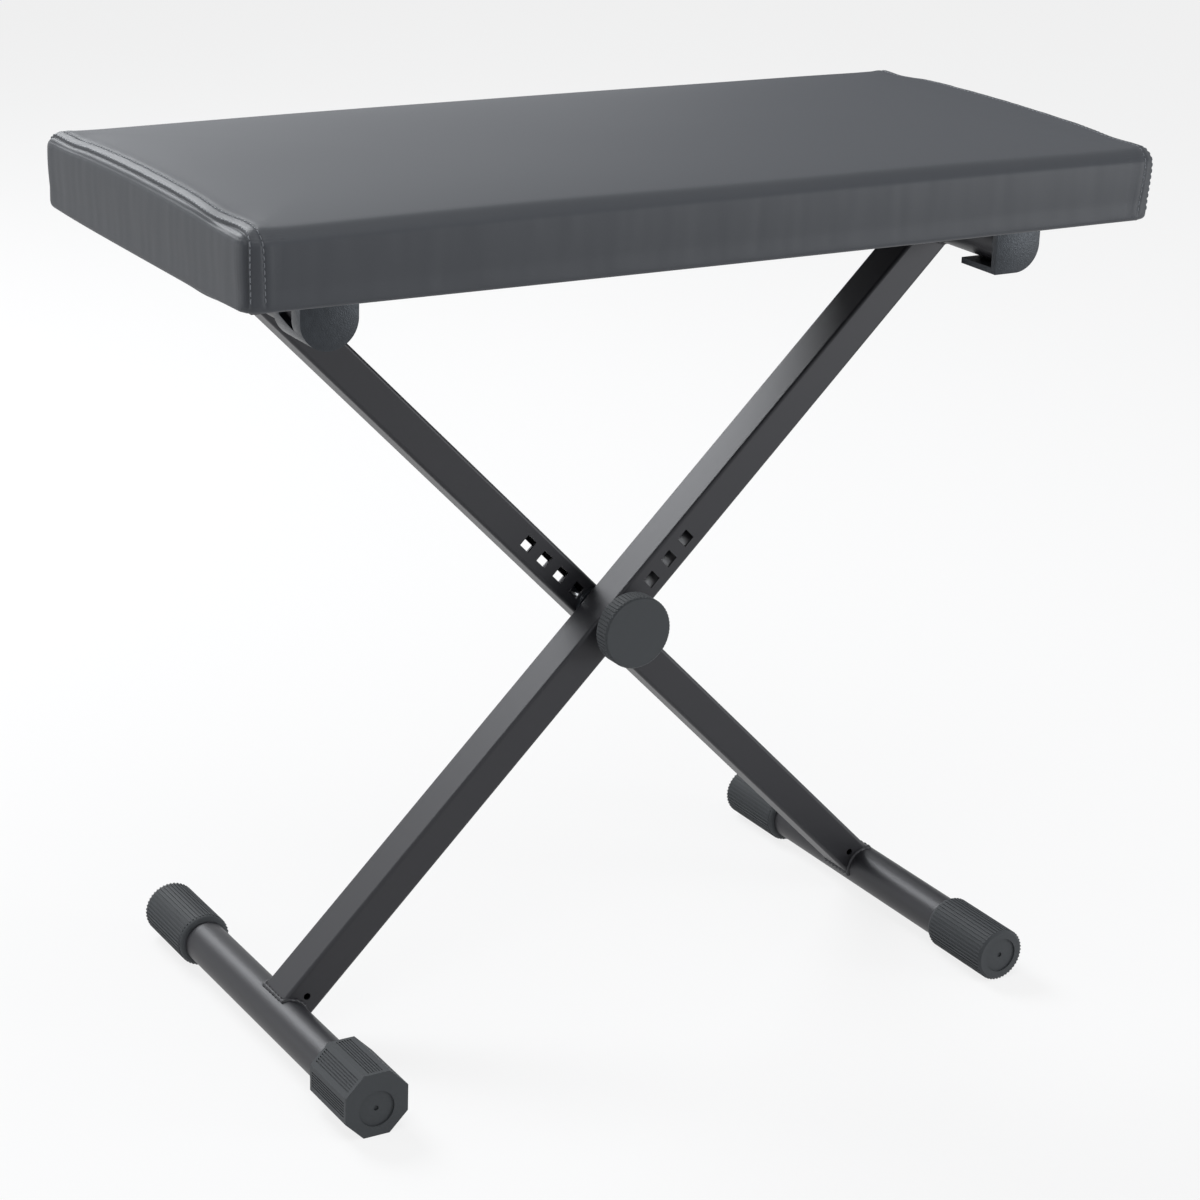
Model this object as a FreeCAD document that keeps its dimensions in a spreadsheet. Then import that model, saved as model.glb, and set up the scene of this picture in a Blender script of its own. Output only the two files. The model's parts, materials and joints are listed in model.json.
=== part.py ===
"""Folding X-frame bench for a keyboard player, as a parametric document.

Millimetres. X runs along the seat, Y from the front to the back, Z up.
The origin is on the floor, under the middle of the seat. Each piece is one object
whose Label names its STEP file.
"""
import FreeCAD, Part
import math
import os
import Sketcher

doc = FreeCAD.newDocument("KeyboardBench")
sheet = doc.addObject("Spreadsheet::Sheet", "Sizes")

# Driving dimensions, each written once
DRIVING_SIZES = {
    # Seat cushion
    "seat_length": 667,
    "seat_depth": 317,
    "seat_height": 50.5,
    "seat_crown": 4.5,
    "crown_strips": 14,
    "side_bulge": 1.4,
    "bulge_height": 28,
    "seat_corner_radius": 12,
    "seat_edge_radius": 10,
    "seat_hem_radius": 4,
    "cover_gauge": 1.2,
    "cover_tuck": 22,
    "board_thickness": 12,
    "board_gap": 1,
    "lining_gauge": 1.2,
    "lining_inset": 8.5,
    # Crossed legs
    "leg_angle": 45,
    "lower_arm": 350,
    "bearing_inset": 77.5,
    "leg_width": 25,
    "leg_depth": 30,
    "leg_wall": 1.5,
    "leg_edge_radius": 2.5,
    "leg_gap": 4.3,
    "setting_hole": 9,
    "setting_pitch": 18.4,
    "settings": 5,
    "vent_hole": 5,
    "vent_height": 21,
    # Round cross tubes
    "tube_radius": 15,
    "tube_wall": 2,
    "top_tube_length": 205,
    "plug_flange": 2,
    "plug_depth": 10,
    "fit_gap": 0.08,
    # Foot caps and leveller
    "foot_length": 334,
    "cap_radius": 19.2,
    "cap_length": 64,
    "cap_end": 6,
    "cap_bevel": 1.5,
    "cap_shoulder": 3.5,
    "cap_recess_radius": 12.5,
    "cap_recess_depth": 1.2,
    "cap_dimple_radius": 1.8,
    "rib_height": 0.6,
    "rib_width": 1.1,
    "cap_ribs": 44,
    "leveller_length": 60,
    "leveller_offset": 3,
    "leveller_collar": 8,
    "lobe_radius": 2.6,
    "lobe_inset": 2.9,
    "lobes": 8,
    "facet_grooves": 6,
    "groove_pitch": 1.9,
    "groove_width": 0.9,
    "groove_depth": 0.6,
    "leveller_margin": 2.5,
    # Seat bearings
    "bearing_depth": 38,
    "bearing_radius": 19.5,
    "bearing_front": 5,
    "end_play": 0.5,
    "slide_gap": 0.3,
    "cup_flange": 12,
    "cup_window": 18,
    "cup_sill_front": 8.25,
    "cup_sill_back": 1.5,
    "cup_window_top": 9,
    "ear_width": 14,
    "ear_length": 24,
    "ear_thickness": 3.9,
    "hook_inner": 16.3,
    "hook_land": 0.5,
    # Fasteners
    "screw_radius": 2,
    "screw_head_radius": 4,
    "screw_length": 15,
    "screw_hole_radius": 2.3,
    "bolt_radius": 4,
    "bolt_neck": 8.4,
    "bolt_neck_length": 4,
    "bolt_head_radius": 8.5,
    "bolt_head_height": 4.4,
    "bolt_head_round": 3.9,
    "bolt_tip_gap": 3,
    "bolt_hole_gap": 0.3,
    "spacer_radius": 13,
    "washer_radius": 12,
    "washer_thickness": 1.6,
    "contact_gap": 0.05,
    "staple_crown": 10,
    "staple_wire": 0.8,
    "staple_leg": 7,
    "staple_inset": 5,
    "staples_long": 9,
    "staples_short": 4,
    # Hand knob
    "knob_radius": 25.5,
    "knob_rim": 14,
    "knob_hub_radius": 13,
    "knob_hub_length": 12,
    "knob_bevel": 1.2,
    "knob_flutes": 60,
    "knob_flute_radius": 0.55,
    "knob_cap_radius": 22.5,
    "knob_cap_thickness": 2,
    "insert_radius": 6,
    "insert_length": 14,
}

for row, (alias, number) in enumerate(DRIVING_SIZES.items(), start=1):
    sheet.set(f"A{row}", alias.replace("_", " "))
    sheet.set(f"B{row}", str(number))
    sheet.setAlias(f"B{row}", alias)
doc.recompute()

# Places that several pieces share, as expressions on the driving dimensions
FOOT_X = "(Sizes.lower_arm * sin(Sizes.leg_angle * 1deg))"
PIVOT_Z = "(Sizes.cap_radius + Sizes.lower_arm * cos(Sizes.leg_angle * 1deg))"
TOP_X = "(Sizes.seat_length / 2 - Sizes.bearing_inset)"
UPPER_ARM = f"({TOP_X} / sin(Sizes.leg_angle * 1deg))"
TOP_Z = f"({PIVOT_Z} + {UPPER_ARM} * cos(Sizes.leg_angle * 1deg))"
SEAT_UNDER = f"({TOP_Z} + Sizes.bearing_radius)"
COVER_BOTTOM = f"({SEAT_UNDER} + Sizes.lining_gauge)"
BOARD_BOTTOM = f"({COVER_BOTTOM} + Sizes.cover_gauge)"
BOARD_TOP = f"({BOARD_BOTTOM} + Sizes.board_thickness)"
SIDE_LAYERS = "(Sizes.side_bulge + Sizes.cover_gauge + Sizes.board_gap)"
BOARD_LENGTH = f"(Sizes.seat_length - 2 * {SIDE_LAYERS})"
BOARD_DEPTH = f"(Sizes.seat_depth - 2 * {SIDE_LAYERS})"
LINING_LENGTH = "(Sizes.seat_length - 2 * Sizes.lining_inset)"
LINING_DEPTH = "(Sizes.seat_depth - 2 * Sizes.lining_inset)"
LEG_FRONT_FACE = "(Sizes.leg_gap / 2 + Sizes.leg_depth)"
FOOT_TUBE_LENGTH = "(Sizes.foot_length - 2 * Sizes.cap_end)"
TOP_TUBE_END = "(Sizes.top_tube_length / 2 + Sizes.plug_flange)"
BEARING_REACH = f"({TOP_TUBE_END} + Sizes.end_play + Sizes.bearing_front)"
BEARING_BACK = f"({BEARING_REACH} - Sizes.bearing_depth)"
EAR_X = "(Sizes.bearing_radius + Sizes.ear_width / 2)"
EAR_Y = f"({BEARING_BACK} + Sizes.ear_length / 2)"
KNOB_BACK = f"({LEG_FRONT_FACE} + 2 * Sizes.contact_gap + Sizes.washer_thickness)"
KNOB_FRONT = f"({KNOB_BACK} + Sizes.knob_hub_length + Sizes.knob_rim)"

# How far a cut runs past the piece, and how near two lengths count as equal
PAST = "1"
CLOSE = 0.01

pieces = []


def value(expression):
    """The number that an expression on the driving dimensions gives now."""
    return float(sheet.evalExpression(expression))


def bind(thing, **expressions):
    """Tie properties of an object to the driving dimensions."""
    for name, expression in expressions.items():
        thing.setExpression(name, expression)


def place(thing, base=("0", "0", "0"), axis=(0, 0, 1), angle="0"):
    """Tie an object's Placement to the driving dimensions; the angle is in degrees."""
    thing.Placement = FreeCAD.Placement(
        FreeCAD.Vector(0, 0, 0), FreeCAD.Rotation(FreeCAD.Vector(*axis), value(angle)))
    for letter, expression in zip("xyz", base):
        thing.setExpression(f"Placement.Base.{letter}", expression)
    if angle != "0":
        thing.setExpression("Placement.Rotation.Angle", f"({angle}) * 1deg")


def keep(thing, label):
    """Count an object as one piece of the bench, under its own name."""
    thing.Label = label
    pieces.append(thing)
    return thing


def new_body(label):
    """Start a piece that is made of sketches and features."""
    return keep(doc.addObject("PartDesign::Body", label + "_body"), label)


def plane(body, role):
    """One of a body's own origin planes."""
    return [item for item in body.Origin.OriginFeatures if item.Role == role][0]


def new_sketch(body, role, offset="0", lift="0", turn="0"):
    """A sketch on an origin plane of its body.

    It is moved along the plane's normal by offset, lifted in the plane, and turned
    about the normal by an angle in degrees.
    """
    sketch = body.newObject("Sketcher::SketchObject", "Profile")
    sketch.AttachmentSupport = [(plane(body, role), "")]
    sketch.MapMode = "FlatFace"
    sketch.setExpression("AttachmentOffset.Base.z", offset)
    sketch.setExpression("AttachmentOffset.Base.y", lift)
    if turn != "0":
        sketch.setExpression("AttachmentOffset.Rotation.Angle", f"({turn}) * 1deg")
    return sketch


def pin_point(sketch, line, end, x, y):
    """Fix one end of a sketch line at a place given by two expressions."""
    for kind, other_axis, expression in (("DistanceX", -2, x), ("DistanceY", -1, y)):
        if expression == "0":
            sketch.addConstraint(Sketcher.Constraint("PointOnObject", line, end, other_axis))
        else:
            index = sketch.addConstraint(
                Sketcher.Constraint(kind, -1, 1, line, end, value(expression)))
            sketch.setExpression(f"Constraints[{index}]", expression)


def draw_polygon(sketch, corners):
    """Add a closed outline of straight lines through corners given as expressions."""
    first = sketch.GeometryCount
    points = [FreeCAD.Vector(value(x), value(y), 0) for x, y in corners]
    count = len(points)
    for index in range(count):
        sketch.addGeometry(Part.LineSegment(points[index], points[(index + 1) % count]))
    for index in range(count):
        following = first + (index + 1) % count
        sketch.addConstraint(Sketcher.Constraint("Coincident", first + index, 2, following, 1))
    for index, (x, y) in enumerate(corners):
        pin_point(sketch, first + index, 1, x, y)


def draw_rectangle(sketch, left, low, right, high):
    """Add a rectangle between two corners."""
    draw_polygon(sketch, [(left, low), (right, low), (right, high), (left, high)])


def draw_circle(sketch, radius, x="0", y="0"):
    """Add a circle with its centre at a place given by two expressions."""
    centre = FreeCAD.Vector(value(x), value(y), 0)
    index = sketch.addGeometry(Part.Circle(centre, FreeCAD.Vector(0, 0, 1), value(radius)))
    pin_point(sketch, index, 3, x, y)
    bound = sketch.addConstraint(Sketcher.Constraint("Radius", index, value(radius)))
    sketch.setExpression(f"Constraints[{bound}]", radius)


def pad(body, sketch, length, reverse=False, middle=False):
    """Push a sketch out by a length."""
    feature = body.newObject("PartDesign::Pad", "Pad")
    feature.Profile = sketch
    feature.Reversed = reverse
    feature.Midplane = middle
    feature.setExpression("Length", length)
    doc.recompute()
    return feature


def pocket(body, sketch, length=None, reverse=False, middle=False):
    """Cut a sketch away, to a depth or right through, and test that it did cut."""
    before = body.Shape.Volume
    feature = body.newObject("PartDesign::Pocket", "Pocket")
    feature.Profile = sketch
    feature.Reversed = reverse
    feature.Midplane = middle
    if length is None:
        feature.Type = "ThroughAll"
    else:
        feature.setExpression("Length", length)
    doc.recompute()
    if not body.Shape.Volume < before:
        raise RuntimeError(f"a pocket of {body.Label} cuts nothing")
    return feature


def edges_where(shape, test):
    """Names of the edges of a shape that pass a test."""
    return [f"Edge{number}" for number, edge in enumerate(shape.Edges, start=1) if test(edge)]


def soften(body, kind, size_name, expression, test):
    """Fillet or chamfer the edges of a body's tip that pass a test."""
    tip = body.Tip
    feature = body.newObject(f"PartDesign::{kind}", kind)
    feature.Base = (tip, edges_where(tip.Shape, test))
    feature.setExpression(size_name, expression)
    doc.recompute()
    return feature


def runs_along(edge, direction):
    """Tell whether an edge is a straight line in a direction."""
    if not isinstance(edge.Curve, Part.Line):
        return False
    return abs(abs(edge.Curve.Direction.dot(FreeCAD.Vector(*direction))) - 1) < 1e-6


def polar_copies(body, feature, sketch, count, angle="360"):
    """Repeat a feature round its sketch's normal, over an angle in degrees."""
    pattern = body.newObject("PartDesign::PolarPattern", "Ring")
    pattern.Originals = [feature]
    pattern.Axis = (sketch, ["N_Axis"])
    pattern.setExpression("Angle", f"({angle}) * 1deg")
    pattern.setExpression("Occurrences", count)
    body.Tip = pattern
    doc.recompute()
    return pattern


# Seat cushion

def rounded_outline(half_length, half_depth, radius, height):
    """A level rectangle with rounded corners, as one closed wire."""
    slant = radius * math.sqrt(0.5)
    arcs = []
    for side_x, side_y in ((1, -1), (1, 1), (-1, 1), (-1, -1)):
        x = side_x * (half_length - radius)
        y = side_y * (half_depth - radius)
        beside = FreeCAD.Vector(x + side_x * radius, y, height)
        middle = FreeCAD.Vector(x + side_x * slant, y + side_y * slant, height)
        ahead = FreeCAD.Vector(x, y + side_y * radius, height)
        arcs.append((beside, middle, ahead) if side_x == side_y else (ahead, middle, beside))
    edges = []
    for index, (first, middle, last) in enumerate(arcs):
        edges.append(Part.Arc(first, middle, last).toShape())
        edges.append(Part.makeLine(last, arcs[(index + 1) % len(arcs)][0]))
    return Part.Wire(edges)


def crown_radius():
    """Radius of the circle that the crowned top follows across the seat."""
    half_depth = value("Sizes.seat_depth / 2")
    crown = value("Sizes.seat_crown")
    return (half_depth ** 2 + crown ** 2) / (2 * crown)


def crown_form(middle_top, low):
    """A long body whose top is the crown, as narrow strips of one round surface."""
    radius = crown_radius()
    overlap = value(PAST)
    half_length = value("Sizes.seat_length / 2") + overlap
    half_turn = math.asin((value("Sizes.seat_depth / 2") + overlap) / radius)

    def spot(share):
        turn = share * half_turn
        height = middle_top - radius + radius * math.cos(turn)
        return FreeCAD.Vector(-half_length, radius * math.sin(turn), height)

    strips = round(value("Sizes.crown_strips"))
    edges = []
    for index in range(strips):
        first = 2 * index / strips - 1
        last = 2 * (index + 1) / strips - 1
        edges.append(Part.Arc(spot(first), spot((first + last) / 2), spot(last)).toShape())
    back = spot(1)
    front = spot(-1)
    low_back = FreeCAD.Vector(back.x, back.y, low)
    low_front = FreeCAD.Vector(front.x, front.y, low)
    edges.append(Part.makeLine(back, low_back))
    edges.append(Part.makeLine(low_back, low_front))
    edges.append(Part.makeLine(low_front, front))
    return Part.Face(Part.Wire(edges)).extrude(FreeCAD.Vector(2 * half_length, 0, 0))


def crown_rim(solid):
    """The edges where the crowned top meets the sides."""
    radius = crown_radius()

    def is_crown(face):
        return isinstance(face.Surface, Part.Cylinder) and abs(face.Surface.Radius - radius) < CLOSE

    rim = []
    for edge in solid.Edges:
        neighbours = solid.ancestorsOfType(edge, Part.Face)
        if sum(is_crown(face) for face in neighbours) == 1:
            rim.append(edge)
    return rim


def cushion_form(inset, bottom):
    """A crowned block, upright beside the board and fuller beside the foam."""
    bulge = value("Sizes.side_bulge")
    half_length = value("Sizes.seat_length / 2") - bulge - inset
    half_depth = value("Sizes.seat_depth / 2") - bulge - inset
    middle_top = value(f"{COVER_BOTTOM} + Sizes.seat_height + Sizes.seat_crown") - inset
    board_top = value(BOARD_TOP)
    levels = [(bottom, 0)]
    if bottom < board_top - CLOSE:
        levels.append((board_top, 0))
    levels.append((value(f"{COVER_BOTTOM} + Sizes.bulge_height"), bulge))
    levels.append((middle_top + value("Sizes.seat_edge_radius"), bulge))
    corner = value("Sizes.seat_corner_radius") - inset
    outlines = [rounded_outline(half_length + out, half_depth + out, corner, height)
                for height, out in levels]
    block = Part.makeLoft(outlines, True, True)
    low = bottom - value(PAST)
    solid = block.common(crown_form(middle_top, low)).Solids[0]
    return solid.makeFillet(value("Sizes.seat_edge_radius") - inset, crown_rim(solid))


def round_hem(solid, radius):
    """Round the lowest edges of a cushion form."""
    underside = min(solid.Faces, key=lambda face: face.CenterOfMass.z)
    return solid.makeFillet(radius, underside.Edges)


def make_cushion():
    """The sewn cover, with its edge tucked under the board, and the foam in it."""
    gauge = value("Sizes.cover_gauge")
    bottom = value(COVER_BOTTOM)
    hem = value("Sizes.seat_hem_radius")
    outside = round_hem(cushion_form(0, bottom), hem)
    inside = round_hem(cushion_form(gauge, bottom + gauge), hem - gauge)
    half_length = value("Sizes.seat_length / 2 - Sizes.cover_tuck")
    half_depth = value("Sizes.seat_depth / 2 - Sizes.cover_tuck")
    window = Part.makeBox(2 * half_length, 2 * half_depth, 3 * gauge,
                          FreeCAD.Vector(-half_length, -half_depth, bottom - gauge))
    cover = keep(doc.addObject("Part::Feature", "Cover"), "seat_cover")
    cover.Shape = outside.cut(inside).cut(window)
    foam = keep(doc.addObject("Part::Feature", "Foam"), "seat_foam")
    foam.Shape = cushion_form(gauge, value(BOARD_TOP))


def make_board():
    """The plywood board that carries the foam and takes the screws."""
    body = new_body("seat_board")
    place(body, ("0", "0", BOARD_BOTTOM))
    sketch = new_sketch(body, "XY_Plane")
    draw_rectangle(sketch, f"-{BOARD_LENGTH} / 2", f"-{BOARD_DEPTH} / 2",
                   f"{BOARD_LENGTH} / 2", f"{BOARD_DEPTH} / 2")
    pad(body, sketch, "Sizes.board_thickness")
    soften(body, "Fillet", "Radius",
           "Sizes.seat_corner_radius - Sizes.cover_gauge - Sizes.board_gap",
           lambda edge: runs_along(edge, (0, 0, 1)))
    soften(body, "Fillet", "Radius",
           "Sizes.seat_hem_radius - Sizes.cover_gauge - Sizes.board_gap",
           lambda edge: edge.BoundBox.ZMax < CLOSE)


def make_lining():
    """The black cloth that closes the underside."""
    body = new_body("seat_lining")
    place(body, ("0", "0", SEAT_UNDER))
    sketch = new_sketch(body, "XY_Plane")
    draw_rectangle(sketch, f"-{LINING_LENGTH} / 2", f"-{LINING_DEPTH} / 2",
                   f"{LINING_LENGTH} / 2", f"{LINING_DEPTH} / 2")
    pad(body, sketch, "Sizes.lining_gauge")


def make_staple(name, x, y, lengthwise):
    """One staple driven up into the board, its crown on the lining."""
    crown = doc.addObject("Part::Box", name + "Crown")
    half = "Sizes.staple_crown / 2"
    wire = "Sizes.staple_wire"
    low = f"{SEAT_UNDER} - {wire}"
    if lengthwise:
        bind(crown, Length="Sizes.staple_crown", Width=wire, Height=wire)
        beside = f"{y} - {wire} / 2"
        places = [(f"{x} - {half}", beside), (f"{x} + {half} - {wire}", beside)]
    else:
        bind(crown, Length=wire, Width="Sizes.staple_crown", Height=wire)
        beside = f"{x} - {wire} / 2"
        places = [(beside, f"{y} - {half}"), (beside, f"{y} + {half} - {wire}")]
    place(crown, (*places[0], low))
    legs = []
    for leg_x, leg_y in places:
        leg = doc.addObject("Part::Box", name + "Leg")
        bind(leg, Length=wire, Width=wire, Height=f"Sizes.staple_leg + {wire}")
        place(leg, (leg_x, leg_y, low))
        legs.append(leg)
    staple = doc.addObject("Part::MultiFuse", name)
    staple.Shapes = [crown] + legs
    return staple


def make_staples():
    """All the staples round the lining, as one group."""
    row_x = f"({LINING_LENGTH} / 2 - Sizes.staple_inset)"
    row_y = f"({LINING_DEPTH} / 2 - Sizes.staple_inset)"
    staples = []
    long_count = round(value("Sizes.staples_long"))
    short_count = round(value("Sizes.staples_short"))
    for side in (-1, 1):
        for index in range(long_count):
            share = (2 * index + 1) / long_count - 1
            staples.append(make_staple("Staple", f"{share} * {row_x}", f"{side} * {row_y}", True))
        for index in range(short_count):
            share = (2 * index + 1) / short_count - 1
            staples.append(make_staple("Staple", f"{side} * {row_x}", f"{share} * {row_y}", False))
    group = keep(doc.addObject("Part::Compound", "Staples"), "lining_staples")
    group.Links = staples


# Bearings under the seat

def add_ears(body, left, right, reverse):
    """Two screw ears that lie flat against the lining, with a hole in each."""
    back = BEARING_BACK if reverse else f"-{BEARING_BACK}"
    side = "" if reverse else "-"
    front = f"{side}({BEARING_BACK} + Sizes.ear_length)"
    sketch = new_sketch(body, "XY_Plane", "Sizes.bearing_radius")
    draw_rectangle(sketch, left, front, right, back)
    pad(body, sketch, "Sizes.ear_thickness", reverse=True)
    holes = new_sketch(body, "XY_Plane", "Sizes.bearing_radius")
    hole_y = EAR_Y if reverse else f"-{EAR_Y}"
    for side in ("", "-"):
        draw_circle(holes, "Sizes.screw_hole_radius", f"{side}{EAR_X}", hole_y)
    pocket(body, holes, f"Sizes.ear_thickness + {PAST}")


def countersink(body):
    """Open the lower end of each screw hole into a cone for the head."""
    hole_radius = value("Sizes.screw_hole_radius")
    low = value("Sizes.bearing_radius - Sizes.ear_thickness")

    def is_mouth(edge):
        if not isinstance(edge.Curve, Part.Circle):
            return False
        flat = abs(edge.Curve.Center.z - low) < CLOSE
        return flat and abs(edge.Curve.Radius - hole_radius) < CLOSE

    size = "Sizes.screw_head_radius - Sizes.screw_hole_radius"
    soften(body, "Chamfer", "Size", size, is_mouth)


def make_cup(label, reverse):
    """A closed bearing cup round one end of the left top tube: the seat's hinge."""
    body = new_body(label)
    place(body, (f"-{TOP_X}", "0", TOP_Z))
    radius = "Sizes.bearing_radius"
    offset = f"-{BEARING_BACK}" if reverse else BEARING_BACK
    block = new_sketch(body, "XZ_Plane", offset)
    draw_rectangle(block, f"-{radius}", "0", radius, radius)
    pad(body, block, "Sizes.bearing_depth", reverse=reverse)
    rounded = new_sketch(body, "XZ_Plane", offset)
    draw_circle(rounded, radius)
    pad(body, rounded, "Sizes.bearing_depth", reverse=reverse)
    add_ears(body, f"-{radius} - Sizes.ear_width", f"{radius} + Sizes.ear_width", reverse)
    bore = new_sketch(body, "XZ_Plane", offset)
    draw_circle(bore, "Sizes.tube_radius + Sizes.fit_gap")
    pocket(body, bore, "Sizes.bearing_depth - Sizes.bearing_front", reverse=not reverse)
    window = new_sketch(body, "YZ_Plane", f"-{radius} - {PAST}")
    front = f"({BEARING_REACH} - Sizes.cup_flange)"
    back = f"({front} - Sizes.cup_window)"
    sign = "" if reverse else "-"
    draw_polygon(window, [(f"{sign}{front}", "-Sizes.cup_sill_front"),
                          (f"{sign}{back}", "-Sizes.cup_sill_back"),
                          (f"{sign}{back}", "Sizes.cup_window_top"),
                          (f"{sign}{front}", "Sizes.cup_window_top")])
    pocket(body, window, f"{radius} + {PAST}", reverse=True)
    countersink(body)


def make_hook(label, reverse):
    """A hook that is open towards the middle of the seat, round the right top tube."""
    body = new_body(label)
    place(body, (TOP_X, "0", TOP_Z))
    radius = "Sizes.bearing_radius"
    inner = "-Sizes.hook_inner"
    offset = f"-{BEARING_BACK}" if reverse else BEARING_BACK
    block = new_sketch(body, "XZ_Plane", offset)
    draw_rectangle(block, inner, f"-{radius}", radius, radius)
    pad(body, block, "Sizes.bearing_depth", reverse=reverse)
    outer = value(radius)

    def is_outer_corner(edge):
        middle = edge.CenterOfMass
        along = runs_along(edge, (0, 1, 0))
        return along and abs(middle.x - outer) < CLOSE and abs(middle.z + outer) < CLOSE

    soften(body, "Fillet", "Radius", f"{radius} - Sizes.hook_land", is_outer_corner)
    add_ears(body, f"-{radius} - Sizes.ear_width", f"{radius} + Sizes.ear_width", reverse)
    room = "(Sizes.tube_radius + Sizes.slide_gap)"
    seat_of_tube = new_sketch(body, "XZ_Plane", offset)
    draw_circle(seat_of_tube, room)
    depth = "Sizes.bearing_depth - Sizes.bearing_front"
    pocket(body, seat_of_tube, depth, reverse=not reverse)
    mouth = new_sketch(body, "XZ_Plane", offset)
    draw_rectangle(mouth, f"{inner} - {PAST}", f"-{room}", "0", room)
    pocket(body, mouth, depth, reverse=not reverse)
    countersink(body)


def make_screws():
    """Countersunk screws that hold the four bearings to the board."""
    screws = []
    for bearing_x in (f"-{TOP_X}", TOP_X):
        for sign_y in (-1, 1):
            for sign_x in (-1, 1):
                spot = (f"{bearing_x} + {sign_x} * {EAR_X}", f"{sign_y} * {EAR_Y}")
                screws.append(make_screw(*spot))
    group = keep(doc.addObject("Part::Compound", "Screws"), "bearing_screws")
    group.Links = screws


def make_screw(x, y):
    """One wood screw, pointing up, its flat head flush with the ear."""
    low = f"({SEAT_UNDER} - Sizes.ear_thickness)"
    head = doc.addObject("Part::Cone", "ScrewHead")
    bind(head, Radius1="Sizes.screw_head_radius", Radius2="Sizes.screw_radius",
         Height="Sizes.screw_head_radius - Sizes.screw_radius")
    place(head, (x, y, low))
    shank = doc.addObject("Part::Cylinder", "ScrewShank")
    bind(shank, Radius="Sizes.screw_radius", Height="Sizes.screw_length - Sizes.screw_radius")
    place(shank, (x, y, low))
    point = doc.addObject("Part::Cone", "ScrewPoint")
    bind(point, Radius1="Sizes.screw_radius", Height="Sizes.screw_radius")
    point.Radius2 = 0
    place(point, (x, y, f"{low} + Sizes.screw_length - Sizes.screw_radius"))
    screw = doc.addObject("Part::MultiFuse", "Screw")
    screw.Shapes = [head, shank, point]
    return screw


# Crossed legs

def make_leg(label, lean, middle_y):
    """One leg of rectangular tube, coped onto its two cross tubes.

    In the leg's own frame the pivot hole is at the origin and the leg runs along Z.
    """
    body = new_body(label)
    place(body, ("0", middle_y, PIVOT_Z), (0, 1, 0), f"{lean} * Sizes.leg_angle")
    foot = "-Sizes.lower_arm"
    top = UPPER_ARM
    outline = new_sketch(body, "XY_Plane", foot)
    draw_rectangle(outline, "-Sizes.leg_width / 2", "-Sizes.leg_depth / 2",
                   "Sizes.leg_width / 2", "Sizes.leg_depth / 2")
    pad(body, outline, f"{top} - {foot}")
    soften(body, "Fillet", "Radius", "Sizes.leg_edge_radius",
           lambda edge: runs_along(edge, (0, 0, 1)))
    hollow = new_sketch(body, "XY_Plane", f"{foot} - {PAST}")
    draw_rectangle(hollow, "Sizes.leg_wall - Sizes.leg_width / 2",
                   "Sizes.leg_wall - Sizes.leg_depth / 2",
                   "Sizes.leg_width / 2 - Sizes.leg_wall",
                   "Sizes.leg_depth / 2 - Sizes.leg_wall")
    pocket(body, hollow, f"{top} - {foot} + 2 * {PAST}", reverse=True)
    for end in (foot, top):
        cope = new_sketch(body, "XZ_Plane")
        draw_circle(cope, "Sizes.tube_radius", "0", end)
        pocket(body, cope, middle=True)
    vent = new_sketch(body, "XZ_Plane")
    draw_circle(vent, "Sizes.vent_hole / 2", "0", f"{foot} + Sizes.vent_height")
    pocket(body, vent, reverse=True)
    half_hole = "Sizes.setting_hole / 2"
    hole = new_sketch(body, "XZ_Plane")
    draw_rectangle(hole, f"-{half_hole}", f"-{half_hole}", half_hole, half_hole)
    cut = pocket(body, hole, middle=True)
    pattern = body.newObject("PartDesign::LinearPattern", "Settings")
    pattern.Originals = [cut]
    pattern.Direction = (hole, ["V_Axis"])
    pattern.setExpression("Length", "Sizes.setting_pitch * (Sizes.settings - 1)")
    pattern.setExpression("Occurrences", "Sizes.settings")
    body.Tip = pattern
    doc.recompute()


def make_tube(label, x, z, length):
    """A round cross tube along Y, open at both ends."""
    body = new_body(label)
    place(body, (x, "0", z))
    ring = new_sketch(body, "XZ_Plane")
    draw_circle(ring, "Sizes.tube_radius")
    draw_circle(ring, "Sizes.tube_radius - Sizes.tube_wall")
    pad(body, ring, length, middle=True)


def make_plugs(label, x, z):
    """The two plastic plugs that close a top tube, as one group."""
    half = "Sizes.top_tube_length / 2"
    plugs = []
    for side in (-1, 1):
        flange = doc.addObject("Part::Cylinder", "PlugFlange")
        bind(flange, Radius="Sizes.tube_radius", Height="Sizes.plug_flange")
        stem = doc.addObject("Part::Cylinder", "PlugStem")
        bind(stem, Radius="Sizes.tube_radius - Sizes.tube_wall", Height="Sizes.plug_depth")
        place(flange, (x, f"{side} * {half}", z), (1, 0, 0), f"{-side} * 90")
        place(stem, (x, f"{side} * {half}", z), (1, 0, 0), f"{side} * 90")
        plug = doc.addObject("Part::Fuse", "Plug")
        plug.Base = flange
        plug.Tool = stem
        plugs.append(plug)
    group = keep(doc.addObject("Part::Compound", "Plugs"), label)
    group.Links = plugs


# Feet

def add_end_face(body, reverse):
    """Bevel, shallow round recess and centre dimple in the closed end of a cap."""
    face = "Sizes.foot_length / 2"
    offset = f"-{face}" if reverse else face
    recess = new_sketch(body, "XZ_Plane", offset)
    draw_circle(recess, "Sizes.cap_recess_radius")
    pocket(body, recess, "Sizes.cap_recess_depth", reverse=reverse)
    dimple = new_sketch(body, "XZ_Plane", offset)
    draw_circle(dimple, "Sizes.cap_dimple_radius")
    pocket(body, dimple, "2 * Sizes.cap_recess_depth", reverse=reverse)


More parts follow.
